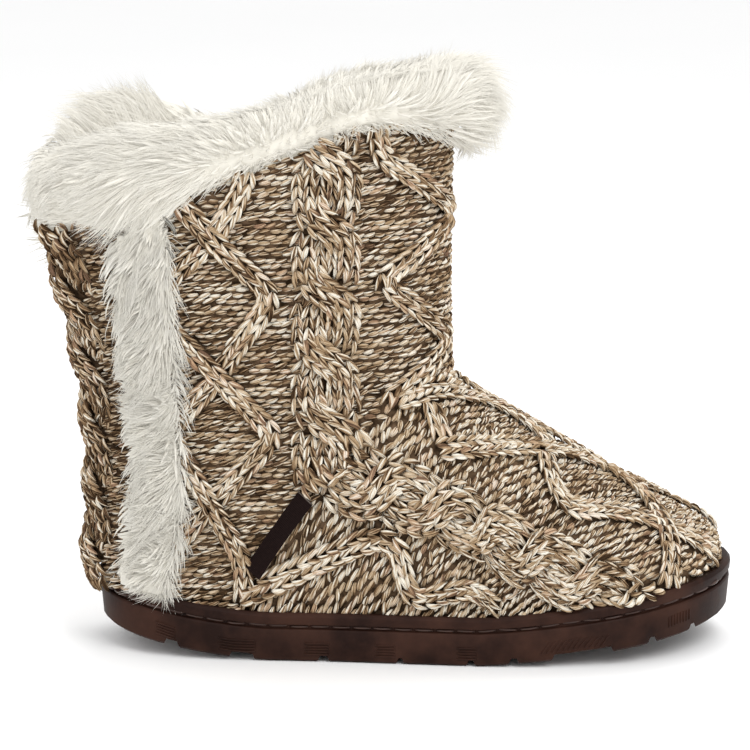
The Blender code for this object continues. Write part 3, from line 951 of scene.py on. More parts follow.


# mottled painted shade for the gaps between the stitches
def backingShadeFinish():
    finish = Finish("knitBackingShade")
    mottle = finish.noise(finish.place(), 260.0, 3.0, 0.6)
    colour = finish.ramp(mottle, [(0.35, backingShadeLook["dark"]), (0.70, backingShadeLook["light"])])
    return finish.close(colour, 0.95, 0.0, finish.bump(mottle, 0.6, 0.6))


def makeBacking():
    # the dark ground that shows between the stitches: a sheet whose dark colour is painted shade in the gaps
    backing = copyOfNode("upper", "upperBacking", backingShadeFinish())
    applyModifier(backing, "DISPLACE", strength=-backingShadeLook["sink"] * mm, mid_level=0)
    spots = spotsOf(backing)
    ridge = ease((17 - np.abs(spots[:, 1])) / 7) * ease((spots[:, 0] - 30) / 12)
    spots = spots + waysOutOf(backing) * ridge[:, None] * backingShadeLook["ridge"]
    spots[:, 0] -= heelFill(spots) * ease((spots[:, 2] - rimHeight(spots[:, 0]) - 1) / 5)
    moveSpots(backing, spots)
    print("backing ready")
    return backing


backing = makeBacking()

furLook = {"pale": (0.775, 0.750, 0.685), "deep": (0.745, 0.715, 0.635), "rough": 0.8, "gloss": 0.1}


def furFinish(name, dim, glow):
    look = furLook
    finish = Finish(name)
    drift = finish.noise(finish.place(), 38.0)
    streak = finish.noise(finish.scaled(finish.layer("hair", "Vector"), (2.6, 0.05, 1.0)), 1.0)
    pale, deep = (tuple(value * dim for value in look[shade]) for shade in ("pale", "deep"))
    tone = finish.layer("tone", "Fac") + (drift - 0.5) * 0.7 + (streak - 0.5) * 0.35
    colour = finish.blend(deep, pale, finish.stretch(tone, 0.1, 0.9))
    # a faint glow stands for the light that passes through the fine hairs
    return finish.close(colour, look["rough"], look["gloss"], finish.bump(streak, 0.3, 0.5), glow,
                        look["pale"])


collarCoat = furFinish("collarFur", 0.79, 0.265)
stripCoat = furFinish("stripFur", 0.84, 0.11)
liningCoat = furFinish("liningPile", 0.80, 0.16)
insoleCoat = furFinish("insolePile", 0.85, 0.02)


class Sway:
    # a slow random change over space, from a few crossing waves
    def __init__(self, length, parts=6):
        self.ways = chance.normal(0, 2 * math.pi / length, (parts, 3))
        self.starts = chance.uniform(0, 2 * math.pi, parts)

    def read(self, spots):
        return np.sin(spots @ self.ways.T + self.starts).sum(axis=1) / math.sqrt(len(self.starts))


def scatter(name, count, favour):
    # places spread over a node's surface, more where favour is high, and the surface's way out at each
    points, corners = nodeMesh(name)
    spots, back = np.unique(np.round(points, 2), axis=0, return_inverse=True)
    corners = back.ravel()[corners]
    first, second, third = (spots[corners[:, k]] for k in range(3))
    faceWays = np.cross(second - first, third - first)
    cornerWays = np.zeros_like(spots)
    for k in range(3):
        np.add.at(cornerWays, corners[:, k], faceWays)
    cornerWays = unit(cornerWays)
    weight = np.linalg.norm(faceWays, axis=1) * favour((first + second + third) / 3, unit(faceWays))
    picks = chance.choice(len(corners), count, p=weight / weight.sum())
    share = chance.dirichlet((1, 1, 1), count)[..., None]
    roots = (spots[corners[picks]] * share).sum(axis=1)
    return roots, unit((cornerWays[corners[picks]] * share).sum(axis=1))


def always(value):
    # a rule that gives the same value at every root
    return lambda roots: np.full(len(roots), value)


# what all the fur has in common, for single hairs and for the locks that they gather in
furHabit = {
    "rise": 0.7,                  # how far a hair already leans along the comb at its root
    "hairTurn": 0.07,
    "lockLength": (0.82, 1.12),
    "hairReach": (0.5, 1.3),
    "lockReach": (0.6, 1.3),
    "fenceGap": 1.0,              # how far the fur ends before its fence, and its roots before that
    "rootGap": 1.5,
    "stray": 1.7,                 # a few hairs pass the fence, by about this much
    "stub": 0.15,                 # the least share of its length that a hair keeps there
    "hairTone": 0.10,
    "lockTone": 0.16,
    "shortest": 0.3,
    "hairWidth": (0.75, 1.2),
    "skinShade": 0.42,            # share of the skin's own facing in a hair's shading
    "light": (0, -0.08, 0.20),
    "tipLight": (0, -0.25, 0.30),
}
# a puffed place grows up more than it grows out sideways
swell = np.array([1.0, 0.55, 1.12])


def shortenHairs(tree, tips, length, reach, buried):
    # a hair whose tip would stand out further than its reach is made shorter
    for i, tip in enumerate(tips):
        near, way, face, distance = tree.find_nearest(Vector(tip))
        over = distance if (Vector(tip) - near).dot(way) > 0 else -distance
        if over > reach[i]:
            length[i] *= max((reach[i] + buried[i]) / (over + buried[i]), furHabit["shortest"])


def combHairs(tree, roots, outs, comb, depth, plan):
    # hairs that leave the skin and bend over to the combed way, gathered in locks
    habit = furHabit
    count = len(roots)
    lockRoots = roots[chance.choice(count, plan["locks"])]
    finder = KDTree(len(lockRoots))
    for i, spot in enumerate(lockRoots):
        finder.insert(spot, i)
    finder.balance()
    lock = np.array([finder.find(spot)[1] for spot in roots])
    turn = plan["swirl"] * Sway(plan["swirlSize"]).read(roots)
    turn = turn + chance.normal(0, plan["lockTurn"], plan["locks"])[lock]
    turn = turn + chance.normal(0, habit["hairTurn"], count)
    flat = comb - outs * np.sum(comb * outs, axis=1, keepdims=True)
    flat = flat / np.maximum(np.linalg.norm(flat, axis=1, keepdims=True), 0.35)
    flat = flat * np.cos(turn)[:, None] + np.cross(outs, flat) * np.sin(turn)[:, None]
    first = unit(outs * plan["stand"] + flat * habit["rise"])
    last = unit(outs * plan["lie"] + flat - np.array([0, 0, plan["droop"]]))
    length = chance.uniform(*plan["length"], count)
    length = length * chance.uniform(*habit["lockLength"], plan["locks"])[lock] * plan["grow"](roots)
    puff = plan["puff"](roots)
    sunk = roots + outs * swell * (puff * plan["firm"])[:, None] - outs * depth[:, None]
    reach = plan["reach"](roots) * chance.uniform(*habit["hairReach"], count)
    reach = puff + reach * chance.uniform(*habit["lockReach"], plan["locks"])[lock]
    tips = sunk + (first + last) / 2 * length[:, None]
    shortenHairs(tree, tips, length, reach, depth - puff * plan["firm"])
    share = np.linspace(0, 1, plan["steps"])[None, :, None]
    travel = share * length[:, None, None]
    paths = sunk[:, None] + first[:, None] * travel + (last - first)[:, None] * travel * share / 2
    paths = paths - (roots - lockRoots[lock])[:, None] * plan["pull"] * share ** 1.5
    paths = paths + chance.normal(0, plan["curl"], (count, 1, 3)) * share ** 2
    # the tips end at the fence, past which no fur grows towards the heel
    fence = np.interp(paths[:, -1, 2], plan["fence"]["z"], plan["fence"]["x"])
    fence = fence + habit["fenceGap"] - chance.exponential(habit["stray"], count)
    fence = fence + chance.normal(0, plan["ragged"], plan["locks"])[lock]
    paths[:, :, 0] += np.maximum(fence + habit["rootGap"] - paths[:, 0, 0], 0)[:, None]
    room = (paths[:, 0, 0] - fence) / np.maximum(paths[:, 0, 0] - paths[:, -1, 0], 0.1)
    paths = paths[:, :1] + (paths - paths[:, :1]) * np.clip(room, habit["stub"], 1)[:, None, None]
    tones = plan["tone"] + chance.normal(0, habit["hairTone"], count)
    tones = tones + chance.normal(0, habit["lockTone"], plan["locks"])[lock]
    return paths, np.clip(tones, 0, 1)


def growHairs(name, paths, outs, tones, plan, material, replaced):
    # each hair is a closed three sided spike, and a wide flat one stands for a whole lock
    habit = furHabit
    count, steps = paths.shape[:2]
    way = unit(np.gradient(paths, axis=1))
    side = unit(np.cross(way, outs[:, None] + 0.01))
    above = np.cross(side, way)
    width, height = plan["width"]
    taper = (1 - np.linspace(0, 1, steps)[:-1] ** 2.2)[None, :, None]
    taper = taper * chance.uniform(*habit["hairWidth"], (count, 1, 1))
    rings = []
    leans = []
    for k in range(3):
        angle = math.pi / 2 + k * 2 * math.pi / 3
        out = side[:, :-1] * (math.cos(angle) * width) + above[:, :-1] * (math.sin(angle) * height)
        rings.append(paths[:, :-1] + out * taper)
        leans.append(outs[:, None] * habit["skinShade"] + unit(out) * plan["ownShade"] + habit["light"])
    points = np.concatenate([np.stack(rings, axis=2).reshape(count, -1, 3), paths[:, -1:]], axis=1)
    total = points.shape[1]
    top = (steps - 2) * 3
    quads, ends = [], [[0, 1, 2]]
    for k in range(3):
        after = (k + 1) % 3
        for low in range(0, top, 3):
            quads.append([low + after, low + k, low + 3 + k, low + 3 + after])
        ends.append([top + after, top + k, total - 1])
    faces = repeatFaces(count, total, quads, ends)
    piece = addMesh(name, points.reshape(-1, 3), faces, material, replaced)
    # a hair is shaded partly as the skin under it is, and partly from the light, which keeps the fur soft
    tipLeans = outs[:, None] * 0.3 + way[:, -1:] * 0.6 + habit["tipLight"]
    leans = np.concatenate([np.stack(leans, axis=2).reshape(count, -1, 3), tipLeans], axis=1)
    piece.data.normals_split_custom_set_from_vertices(unit(leans.reshape(-1, 3)))
    addLayer(piece, "tone", np.repeat(tones, total))
    # the material reads the place round the hair, the distance along it and the hair's own number
    hair = np.zeros((count, total, 3))
    hair[:, :-1, 0] = np.tile([0.0, 1.0, -1.0], steps - 1)[None, :] * width * 4
    hair[:, :-1, 1] = np.repeat(np.arange(steps - 1), 3)[None, :] * 20 / steps
    hair[:, -1, 1] = 20
    hair[:, :, 2] = chance.uniform(0, 200, count)[:, None]
    addLayer(piece, "hair", hair.reshape(-1, 3))
    print(name, count, "hairs", count * (6 * (steps - 2) + 4), "triangles")


def awayFromKnit(spots):
    return np.array([upperTree.find_nearest(Vector(spot))[3] for spot in spots])


def heading(spots, turns):
    return np.stack([np.cos(turns), np.zeros(len(spots)), np.sin(turns)], axis=1)


# how far the fur stands out from the collar's own shape, on the inner side and elsewhere
collarPuff = {"x": [-142, -132, -120, -110, -100, -90, -77, -66, -58, -48, -38, -28, 0, 20, 28, 40],
              "inner": [3, 26, 20, 27, 27, 20, 6, -6, -7, -4, -1, 2, 2, 6, 8, 7],
              "outer": [0, 0, 0, 0, 0, 0, 0, -1, -1, 0, 0, 0, 1, 4, 7, 6]}
# which way the collar's fur is combed, in degrees up from forward, from the heel to the front
collarComb = {"x": [-142, -116, -95, -75, -55, -34, -2, 20, 30],
              "turn": [214, 196, 176, 160, 130, 102, 80, 66, 40]}
frontComb = {"z": [207, 213, 222, 233], "turn": [-76, -42, 0, 28]}
# the collar's lower part above the strip is combed down over the corner of the knit
corner = {"x": -88, "wide": 17, "z": 201, "deep": 12, "turn": 240, "favour": 1.9, "longer": 0.7, "reach": 10}


def puffCollar(spots):
    inner = np.interp(spots[:, 0], collarPuff["x"], collarPuff["inner"])
    outer = np.interp(spots[:, 0], collarPuff["x"], collarPuff["outer"])
    return outer + (inner - outer) * ease((spots[:, 1] + 10) / 24)


def cornerShare(spots):
    near = np.exp(-((spots[:, 0] - corner["x"]) / corner["wide"]) ** 2)
    return near * ease((corner["z"] - spots[:, 2]) / corner["deep"]) * (spots[:, 1] < 0)


def frontShare(spots):
    return ease((spots[:, 0] - 24) / 10)


def combCollar(roots):
    turns = np.interp(roots[:, 0], collarComb["x"], collarComb["turn"])
    # the inner side stands up more towards the heel
    turns = turns - 34 * ease((roots[:, 1] - 4) / 20) * ease((-62 - roots[:, 0]) / 30)
    front = np.interp(roots[:, 2], frontComb["z"], frontComb["turn"])
    turns = turns + (front - turns) * frontShare(roots)
    turns = turns + (corner["turn"] - turns) * cornerShare(roots)
    return heading(roots, np.radians(turns))


def reachCollar(roots):
    fall = 2.6 + 10 * ease((221 - roots[:, 2]) / 9)
    return 2.6 + corner["reach"] * cornerShare(roots) + frontShare(roots) * fall


def reachLocks(roots):
    return reachCollar(roots) - 1.4


def growCorner(roots):
    return 1 + corner["longer"] * cornerShare(roots)


def favourCollar(spots, ways):
    # more hairs on the outer side, over the strip and on the hump at the heel, and fewer underneath
    favour = np.where(spots[:, 1] < 0, 1.35, 0.85) * np.where(ways[:, 2] < -0.5, 0.6, 1.0)
    hump = ease((-84 - spots[:, 0]) / 10) * ease((spots[:, 1] - 4) / 12) * ease((ways[:, 2] + 0.2) / 0.5)
    return favour * (1 + corner["favour"] * cornerShare(spots) + 0.9 * hump)


collarFur = {
    "hairs": 18500,
    "locks": 850,
    "length": (16.0, 25.0),
    "grow": growCorner,
    "depth": 5.5,         # how deep the roots lie under the node's surface
    "stand": 0.75,        # how straight out a hair starts, and how far out it still leans at its tip
    "lie": 0.16,
    "droop": 0.12,
    "reach": reachCollar, # how far the tips may stand out from the node's surface
    "puff": puffCollar,
    "firm": 0.4,          # share of the puff that the skin takes
    "swirl": 0.32,        # how far the combed way wanders, and over what length
    "swirlSize": 50,
    "lockTurn": 0.13,
    "pull": 0.5,          # how far the tips of a lock are drawn together
    "curl": 0.7,
    "steps": 4,
    "width": (0.19, 0.19),
    "tone": 0.62,
    "ownShade": 0.95,
    "ragged": 1.3,
    # the heel end of the fur, by height
    "fence": {"z": [172, 181, 189, 197, 205, 214, 222], "x": [-140, -141, -141, -133, -127, -133, -131]},
    "skinTone": 0.4,
    "skinPuff": 0.3,
    "skinGap": 3.5,       # how far the skin ends before the fence
}
collarLocks = dict(collarFur, hairs=3000, depth=5.0, width=(1.0, 0.5), tone=0.48, length=(12.0, 18.0),
                   curl=0.3, pull=0.2, reach=reachLocks)


def makeCollarSkin():
    # the skin under the fur: drawn in or puffed out, except where it sits on the knit
    plan = collarFur
    skin = copyOfNode("fur_collar", "collarSkin", collarCoat)
    spots = spotsOf(skin)
    moves = plan["puff"](spots) * plan["firm"] * plan["skinPuff"] - plan["depth"]
    moves = np.where(moves < 0, moves * ease((awayFromKnit(spots) - 2.5) / 6), moves)[:, None]
    ways = waysOutOf(skin)
    spots = spots + np.where(moves > 0, ways * swell, ways) * moves
    fence = np.interp(spots[:, 2], plan["fence"]["z"], plan["fence"]["x"]) + plan["skinGap"]
    spots[:, 0] = np.maximum(spots[:, 0], fence)
    moveSpots(skin, spots)
    skin.data.update()
    applyModifier(skin, "SUBSURF", levels=1, render_levels=1)
    bpy.ops.object.shade_smooth()
    evenTone(skin, plan["skinTone"])


def growCollar():
    tree = treeOf("fur_collar")
    for label, plan in (("Fur", collarFur), ("Locks", collarLocks)):
        roots, outs = scatter("fur_collar", plan["hairs"], favourCollar)
        away = awayFromKnit(roots)
        free = away > 0.5
        roots, outs, away = roots[free], outs[free], away[free]
        depth = 0.5 + (plan["depth"] - 0.5) * ease((away - 2.0) / 6)
        paths, tones = combHairs(tree, roots, outs, combCollar(roots), depth, plan)
        outer = roots[:, 1] < 0
        for side, mask in (("Outer", outer), ("Inner", ~outer)):
            growHairs("collar" + label + side, paths[mask], outs[mask], tones[mask], plan, collarCoat,
                      "fur_collar")
    makeCollarSkin()


stripFur = dict(
    collarFur, hairs=7500, locks=300, length=(16.0, 24.0), grow=always(1.0), depth=4.5, lie=0.14, droop=0.10,
    reach=always(3.6), puff=always(0.0), firm=1.0, swirl=0.46, swirlSize=34, lockTurn=0.15,
    width=(0.20, 0.20), tone=0.56, ragged=2.8, skinTone=0.35, skinDepth=4.0, skinWidth=0.80,
    fence={"z": [27, 35, 52, 75, 85, 115, 132, 144, 160, 177],
           "x": [-99, -98, -98.5, -98, -99, -101.5, -102.5, -105, -106, -106]})
stripLocks = dict(stripFur, hairs=1100, depth=4.0, reach=always(1.4), width=(1.0, 0.5), tone=0.42,
                  length=(13.0, 19.0), curl=0.3, pull=0.2)
stripComb = {"z": [20, 34, 60, 110, 140, 158, 185], "turn": [250, 212, 192, 198, 224, 252, 262]}
stripEdge = {"z": [25, 100, 180], "x": [-91, -84, -91]}
stripMiddle = {"z": [27, 60, 110, 150, 180], "x": [-92, -88, -90, -92, -94]}


def combStrip(roots):
    turns = np.interp(roots[:, 2], stripComb["z"], stripComb["turn"])
    # here and there the front edge curls forward
    edge = ease((roots[:, 0] - np.interp(roots[:, 2], stripEdge["z"], stripEdge["x"])) / 6)
    forward = edge * ease((Sway(24).read(roots) - 0.45) / 0.5)
    return heading(roots, np.radians(turns + forward * 130))


def swayStrip(spots):
    # the strip's pile leans forward under the collar and back at the sole
    return 4.0 * ease((spots[..., 2] - 146) / 26) - 1.6 * ease((48 - spots[..., 2]) / 14)


def favourStrip(spots, ways):
    # no hairs on the face that lies on the knit
    return ways[:, 1] < 0.1


def makeStripSkin():
    plan = stripFur
    skin = copyOfNode("fur_strip", "stripSkin", stripCoat)
    applyModifier(skin, "DISPLACE", strength=-plan["skinDepth"] * mm, mid_level=0)
    spots = spotsOf(skin)
    middles = np.interp(spots[:, 2], stripMiddle["z"], stripMiddle["x"])
    # the skin is narrower than the node, so that its edges stay under the hairs
    spots[:, 0] = middles + (spots[:, 0] - middles) * plan["skinWidth"] + swayStrip(spots)
    moveSpots(skin, spots)
    evenTone(skin, plan["skinTone"])


def growStrip():
    tree = treeOf("fur_strip")
    for label, plan in (("Fur", stripFur), ("Locks", stripLocks)):
        roots, outs = scatter("fur_strip", plan["hairs"], favourStrip)
        depth = np.full(len(roots), plan["depth"])
        paths, tones = combHairs(tree, roots, outs, combStrip(roots), depth, plan)
        paths[..., 0] += swayStrip(paths)
        growHairs("strip" + label, paths, outs, tones, plan, stripCoat, "fur_strip")
    makeStripSkin()


liningFur = dict(
    stripFur, hairs=5800, locks=500, length=(8.0, 12.0), depth=-1.0, stand=0.8, lie=0.2, droop=0.3,
    reach=always(4.5), swirl=0.5, swirlSize=40, lockTurn=0.3, steps=3, width=(0.55, 0.25), tone=0.4,
    ownShade=0.4, ragged=1.0, skinTone=0.4, low=92.0, fence={"z": [0, 240], "x": [-200, -200]})


def insideWall(spots, ways):
    # true where a face of the upper looks towards the middle of the leg
    middle = spots.copy()
    middle[:, 0] = np.clip(spots[:, 0], shaftMap["axis"] - 35, shaftMap["axis"] + 35)
    middle[:, 1] = 0
    return np.sum(ways * (middle - spots), axis=1) > 0


def favourLining(spots, ways):
    return insideWall(spots, ways) * (spots[:, 2] > liningFur["low"])


def growLining():
    plan = liningFur
    roots, outs = scatter("upper", plan["hairs"], favourLining)
    depth = np.full(len(roots), plan["depth"])
    down = heading(roots, np.full(len(roots), -math.pi / 2))
    paths, tones = combHairs(upperTree, roots, outs, down, depth, plan)
    growHairs("liningFur", paths, outs, tones, plan, liningCoat, "upper")
    # the inner faces of the backing and its top edge are lined too
    backing.data.materials.append(liningCoat)
    evenTone(backing, plan["skinTone"])
    spots = np.array([face.center / mm for face in backing.data.polygons])
    ways = np.array([face.normal for face in backing.data.polygons])
    lined = insideWall(spots, ways) | ((ways[:, 2] > 0.5) & (spots[:, 2] > 150))
    backing.data.polygons.foreach_set("material_index", lined.astype(np.int32))


rubberLook = {"dark": (0.012, 0.0042, 0.0026), "light": (0.040, 0.0165, 0.0105), "rough": (0.46, 0.62),
              "gloss": 0.10, "cloud": 42.0, "grain": 700.0}


def rubberFinish():
    look = rubberLook
    finish = Finish("brownRubber")
    place = finish.place()
    cloud = finish.noise(place, look["cloud"], 4.0, 0.62)
    grain = finish.noise(place, look["grain"], 3.0, 0.6)
    colour = finish.blend(look["dark"], look["light"], finish.stretch(cloud, 0.34, 0.66))
    dull = finish.stretch(cloud + grain * 0.3, 0.4, 0.9, *look["rough"])
    return finish.close(colour, dull, look["gloss"], finish.bump(grain, 0.18, 0.3))


def threadFinish(name, colour, rough, gloss):
    finish = Finish(name)
    mottle = finish.noise(finish.place(), 500.0)
    dark = tuple(value * 0.6 for value in colour)
    tint = finish.blend(dark, colour, mottle)
    return finish.close(tint, rough, gloss, finish.bump(mottle, 0.3, 0.2))


def addStrands(name, paths, thick, sides, material, replaced):
    # closed round strands through the points of each path, drawn together at both ends
    paths = np.asarray(paths, dtype=float)
    count, steps = paths.shape[:2]
    way = unit(np.gradient(paths, axis=1))[:, 1:-1]
    side = unit(np.cross(way, np.array([0.13, 0.21, 0.97])))
    other = np.cross(way, side)
    turns = [k * 2 * math.pi / sides for k in range(sides)]
    rings = [paths[:, 1:-1] + (side * math.cos(turn) + other * math.sin(turn)) * thick for turn in turns]
    points = np.concatenate([np.stack(rings, axis=2).reshape(count, -1, 3), paths[:, [0, -1]]], axis=1)
    faces = strandFaces(count, steps - 2, sides)
    addMesh(name, points.reshape(-1, 3), faces, material, replaced)
    print(name, count, "strands")


soleLook = {
    "wall": 20.0,         # height of the sole's wall above the underside
    "groove": 14.4,       # height of the stitched groove
    "middle": (8.0, 0.0),
    "stitch": 7.4,
    "gap": 0.9,
    "thread": 0.62,
    # a stitch dips into the groove at both ends: share of its length, and how far it sinks there
    "places": (0, 0.08, 0.3, 0.5, 0.7, 0.92, 1.0),
    "sink": (1.1, 0.35, 0.0, -0.1, 0.0, 0.35, 1.1),
    "rib": 0.42,
    "ribLow": 3.2,
    "ribHigh": 7.8,
    # ribbed patches on the wall: from, to, kind
    "patches": [(-91, -83, "level"), (-66, -51, "level"), (-32, -22, "level"), (-4, 4, "level"),
                (28, 36, "level"), (61, 86, "slant"), (112, 121, "upright")],
    "ribPlaces": (0, 0.04, 0.35, 0.65, 0.96, 1),
    "soften": 0.6,
}
outsoleTree = treeOf("outsole")


def soleLevel(x, height):
    return float(rimHeight(x)) - soleLook["wall"] + height


def wallSpot(x, height, side, out):
    # a place on the outside of the sole's wall, a little way out from it
    level = soleLevel(x, height)
    hit, way = outsoleTree.ray_cast(Vector((x, side * 120, level)), Vector((0, -side, 0)), 120)[:2]
    return np.array([x, 0, level]) if hit is None else np.array(hit + way * out)


def grooveRing():
    # the middle of the groove all round the sole; the rim's height is found again for each better place
    look = soleLook
    middle = np.array([*look["middle"], 0])
    ring = []
    for turn in np.radians(np.arange(0, 360, 1.0)):
        way = np.array([math.cos(turn), math.sin(turn), 0])
        x = middle[0] + way[0] * 60
        for again in range(5):
            start = middle + way * 200 + (0, 0, soleLevel(x, look["groove"]))
            hit = outsoleTree.ray_cast(Vector(start), Vector(-way), 200)[0]
            x = hit.x
        ring.append(np.array(hit) + way * 0.35)
    return np.array(ring + ring[:1])


def sewSole():
    look = soleLook
    ring = grooveRing()
    run = distancesAlong(ring)
    number = int(run[-1] / (look["stitch"] + look["gap"]))
    pitch = run[-1] / number
    stitches = []
    for k in range(number):
        spots = readPath(k * pitch + (pitch - look["gap"]) * np.array(look["places"]), run, ring)
        inward = unit(np.array([*look["middle"], 0]) - spots * (1, 1, 0))
        stitches.append(spots + inward * np.array(look["sink"])[:, None] + chance.normal(0, 0.08, 3))
    thread = threadFinish("waxedThread", (0.050, 0.020, 0.012), 0.38, 0.5)
    addStrands("soleStitches", stitches, look["thread"], 6, thread, "outsole")


def ribLines(start, end, kind):
    # the two ends of each rib of a patch, as distance along the sole and height on its wall
    low, high = soleLook["ribLow"], soleLook["ribHigh"]
    if kind == "level":
        heights = np.arange(low, high + 0.1, 1.15)
        return [((start + 0.8 * k % 1.6, height), (end, height)) for k, height in enumerate(heights)]
    if kind == "slant":
        return [((x, low), (x + 3.6, high)) for x in np.arange(start, end, 2.1)]
    return [((x, low + 1), (x, high + 1)) for x in np.arange(start, end, 1.2)]


def ribSole(rubber):
    look = soleLook
    ribs = []
    for side in (-1, 1):
        for patch in look["patches"]:
            for (x0, h0), (x1, h1) in ribLines(*patch):
                ribs.append([wallSpot(x0 + (x1 - x0) * share, h0 + (h1 - h0) * share, side, 0.05)
                             for share in look["ribPlaces"]])
    addStrands("soleRibs", ribs, look["rib"], 5, rubber, "outsole")


def makeSole():
    rubber = rubberFinish()
    sole = copyOfNode("outsole", "outsoleRubber", rubber)
    applyModifier(sole, "BEVEL", width=soleLook["soften"] * mm, segments=2, limit_method="ANGLE",
                  angle_limit=math.radians(32), use_clamp_overlap=True)
    bpy.ops.object.shade_smooth_by_angle(angle=math.radians(40))
    sewSole()
    ribSole(rubber)


def makeInsole():
    copyOfNode("insole", "insolePile", insoleCoat)
    bpy.ops.object.shade_smooth_by_angle(angle=math.radians(50))
    print("sole and insole ready")


tabLook = {
    # the folded ribbon seen on its end: share of the width from the sewn edge, height in millimetres
    "profile": [(0.0, 0.62), (0.45, 0.74), (0.88, 0.60), (0.97, 0.34), (1.0, 0.0), (0.97, -0.34),
                (0.88, -0.60), (0.45, -0.66), (0.0, -0.62), (0.0, -0.16), (0.85, -0.14), (0.90, 0.0),
                (0.85, 0.14), (0.0, 0.16)],
    "steps": 14,
    "bow": 0.9,           # how far its middle stands out
    "longer": 3.6,
    "back": -2.4,         # how far it is moved towards the toe
    "dark": (0.004, 0.002, 0.002),
    "light": (0.016, 0.009, 0.008),
    "warp": 9000.0,
    "weft": 14000.0,
    # thickness of the strand on the top end, whose light colour is a painted highlight on the cut edge
    "edgeHighlight": 0.22,
}


def tabFinish(long, wide):
    look = tabLook
    finish = Finish("darkWovenTab")
    place = finish.place()

    def threads(way, scale):
        inputs = {0: place, 1: tuple(way)}
        along = finish.node("ShaderNodeVectorMath", {"operation": "DOT_PRODUCT"}, inputs, "Value")
        return finish.wave(along * scale)

    fuzz = finish.noise(place, 900.0, 2.0, 0.6)
    weave = threads(long, look["warp"]) * 0.5 + threads(wide, look["weft"]) * 0.35 + fuzz
    colour = finish.blend(look["dark"], look["light"], finish.stretch(weave, -0.4, 1.4))
    return finish.close(colour, 0.82, 0.04, finish.bump(weave, 0.5, 0.2))


def makeTab():
    look = tabLook
    corners = nodeMesh("label_tab")[0]
    middle = (corners.min(axis=0) + corners.max(axis=0)) / 2
    # the tab's own long and wide ways, turned up and outwards
    long, wide = np.linalg.svd(corners - corners.mean(axis=0), full_matrices=False)[2][:2]
    long = long * np.sign(long[2])
    wide = wide * np.sign(-wide[1])
    thin = np.cross(long, wide)
    thin = thin * np.sign(-thin[1])
    length = np.ptp(corners @ long)
    width = np.ptp(corners @ wide)
    origin = middle - long * length / 2 - wide * width / 2 + np.array([look["back"], 0, 0])
    length = length + look["longer"]
    rings = []
    for step in np.linspace(0, 1, look["steps"]):
        lift = look["bow"] * (4 * step * (1 - step) - 0.6)
        start = origin + long * length * step
        rings.append([start + wide * width * share + thin * (height + lift * (0.35 + 0.65 * share))
                      for share, height in look["profile"]])
    number = len(look["profile"])
    top = (look["steps"] - 1) * number
    quads = []
    for low in range(0, top, number):
        for k in range(number):
            after = (k + 1) % number
            quads.append([low + k, low + after, low + number + after, low + number + k])
    caps = [list(range(number))[::-1], [top + k for k in range(number)]]
    tab = addMesh("labelTab", np.array(rings).reshape(-1, 3), [np.array(quads), np.array(caps)],
                  tabFinish(long, wide), "label_tab")
    selectOnly(tab)
    bpy.ops.object.mode_set(mode="EDIT")
    bpy.ops.mesh.select_all(action="SELECT")
    bpy.ops.mesh.normals_make_consistent(inside=False)
    bpy.ops.object.mode_set(mode="OBJECT")
    bpy.ops.object.shade_smooth_by_angle(angle=math.radians(50))
    # a light strand along the tab's top end: its cut edge, coloured light as a painted highlight
    edge = [rings[-1][k] + long * 0.12 for k in (0, 0, 1, 1, 2, 3)]
    edge[0] = edge[0] - wide * 0.3
    edge[2] = (edge[1] + edge[3]) / 2
    thread = threadFinish("tabEdgeHighlight", (0.16, 0.13, 0.11), 0.8, 0.2)
    addStrands("tabEdgeHighlight", [edge], look["edgeHighlight"], 5, thread, "label_tab")


growCollar()
growStrip()
growLining()
makeSole()
makeInsole()
makeTab()

roomLook = {"size": 12, "floorDark": (0.95, 0.95, 0.95), "floorLight": (0.97, 0.97, 0.97), "sky": 1.0}
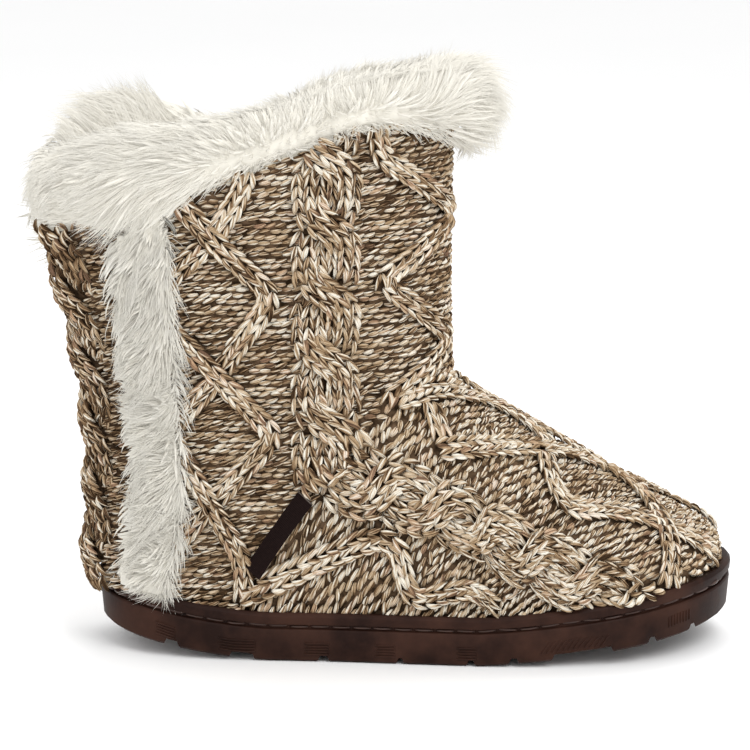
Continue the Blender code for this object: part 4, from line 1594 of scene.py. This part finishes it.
# place, what it points at, size and power, in metres and watts
lamps = {
    "keyLamp": ((0.45, -0.95, 1.05), (0, 0, 0.1), 0.7, 10),
    "fillLamp": ((-0.9, -0.7, 0.6), (0, 0, 0.1), 0.9, 2),
    "topLamp": ((0.1, 0.5, 1.3), (0, 0, 0.12), 0.9, 5),
}
cameraPlan = {"azimuth": 0.0, "elevation": 11.5, "distance": 1.25, "aim": (-0.004, 0, 0.108), "lens": 150,
              "sensor": 36, "near": 0.05, "far": 60}


def makeRoom():
    look = roomLook
    selectOnly(None)
    bpy.ops.mesh.primitive_plane_add(size=look["size"], location=(0, 0, 0))
    floor = bpy.context.object
    floor.name = "floor"
    finish = Finish("paleFloor")
    grain = finish.noise(finish.place(), 3.0)
    colour = finish.blend(look["floorDark"], look["floorLight"], grain)
    floor.data.materials.append(finish.close(colour, 0.7, 0.2))
    world = bpy.data.worlds.new("studio")
    bpy.context.scene.world = world
    world.use_nodes = True
    sky = world.node_tree.nodes["Background"]
    sky.inputs["Color"].default_value = (1.0, 1.0, 1.0, 1)
    sky.inputs["Strength"].default_value = look["sky"]


def putInScene(name, data, spot, way):
    # a lamp or camera at a place, looking along a way
    piece = bpy.data.objects.new(name, data)
    bpy.context.scene.collection.objects.link(piece)
    piece.location = spot
    piece.rotation_euler = way.to_track_quat("-Z", "Y").to_euler()
    return piece


def makeLamps():
    for name, (spot, aim, size, power) in lamps.items():
        lamp = bpy.data.lights.new(name, "AREA")
        lamp.size = size
        lamp.energy = power
        putInScene(name, lamp, spot, Vector(aim) - Vector(spot))


def makeCamera():
    plan = cameraPlan
    turn = math.radians(plan["azimuth"])
    rise = math.radians(plan["elevation"])
    back = Vector((math.sin(turn) * math.cos(rise), -math.cos(turn) * math.cos(rise), math.sin(rise)))
    camera = bpy.data.cameras.new("camera")
    camera.lens = plan["lens"]
    camera.sensor_width = plan["sensor"]
    camera.clip_start = plan["near"]
    camera.clip_end = plan["far"]
    spot = Vector(plan["aim"]) + back * plan["distance"]
    bpy.context.scene.camera = putInScene("camera", camera, spot, -back)


makeRoom()
makeLamps()
makeCamera()
bpy.context.scene.view_settings.view_transform = "Standard"
print("room, lamps and camera ready")
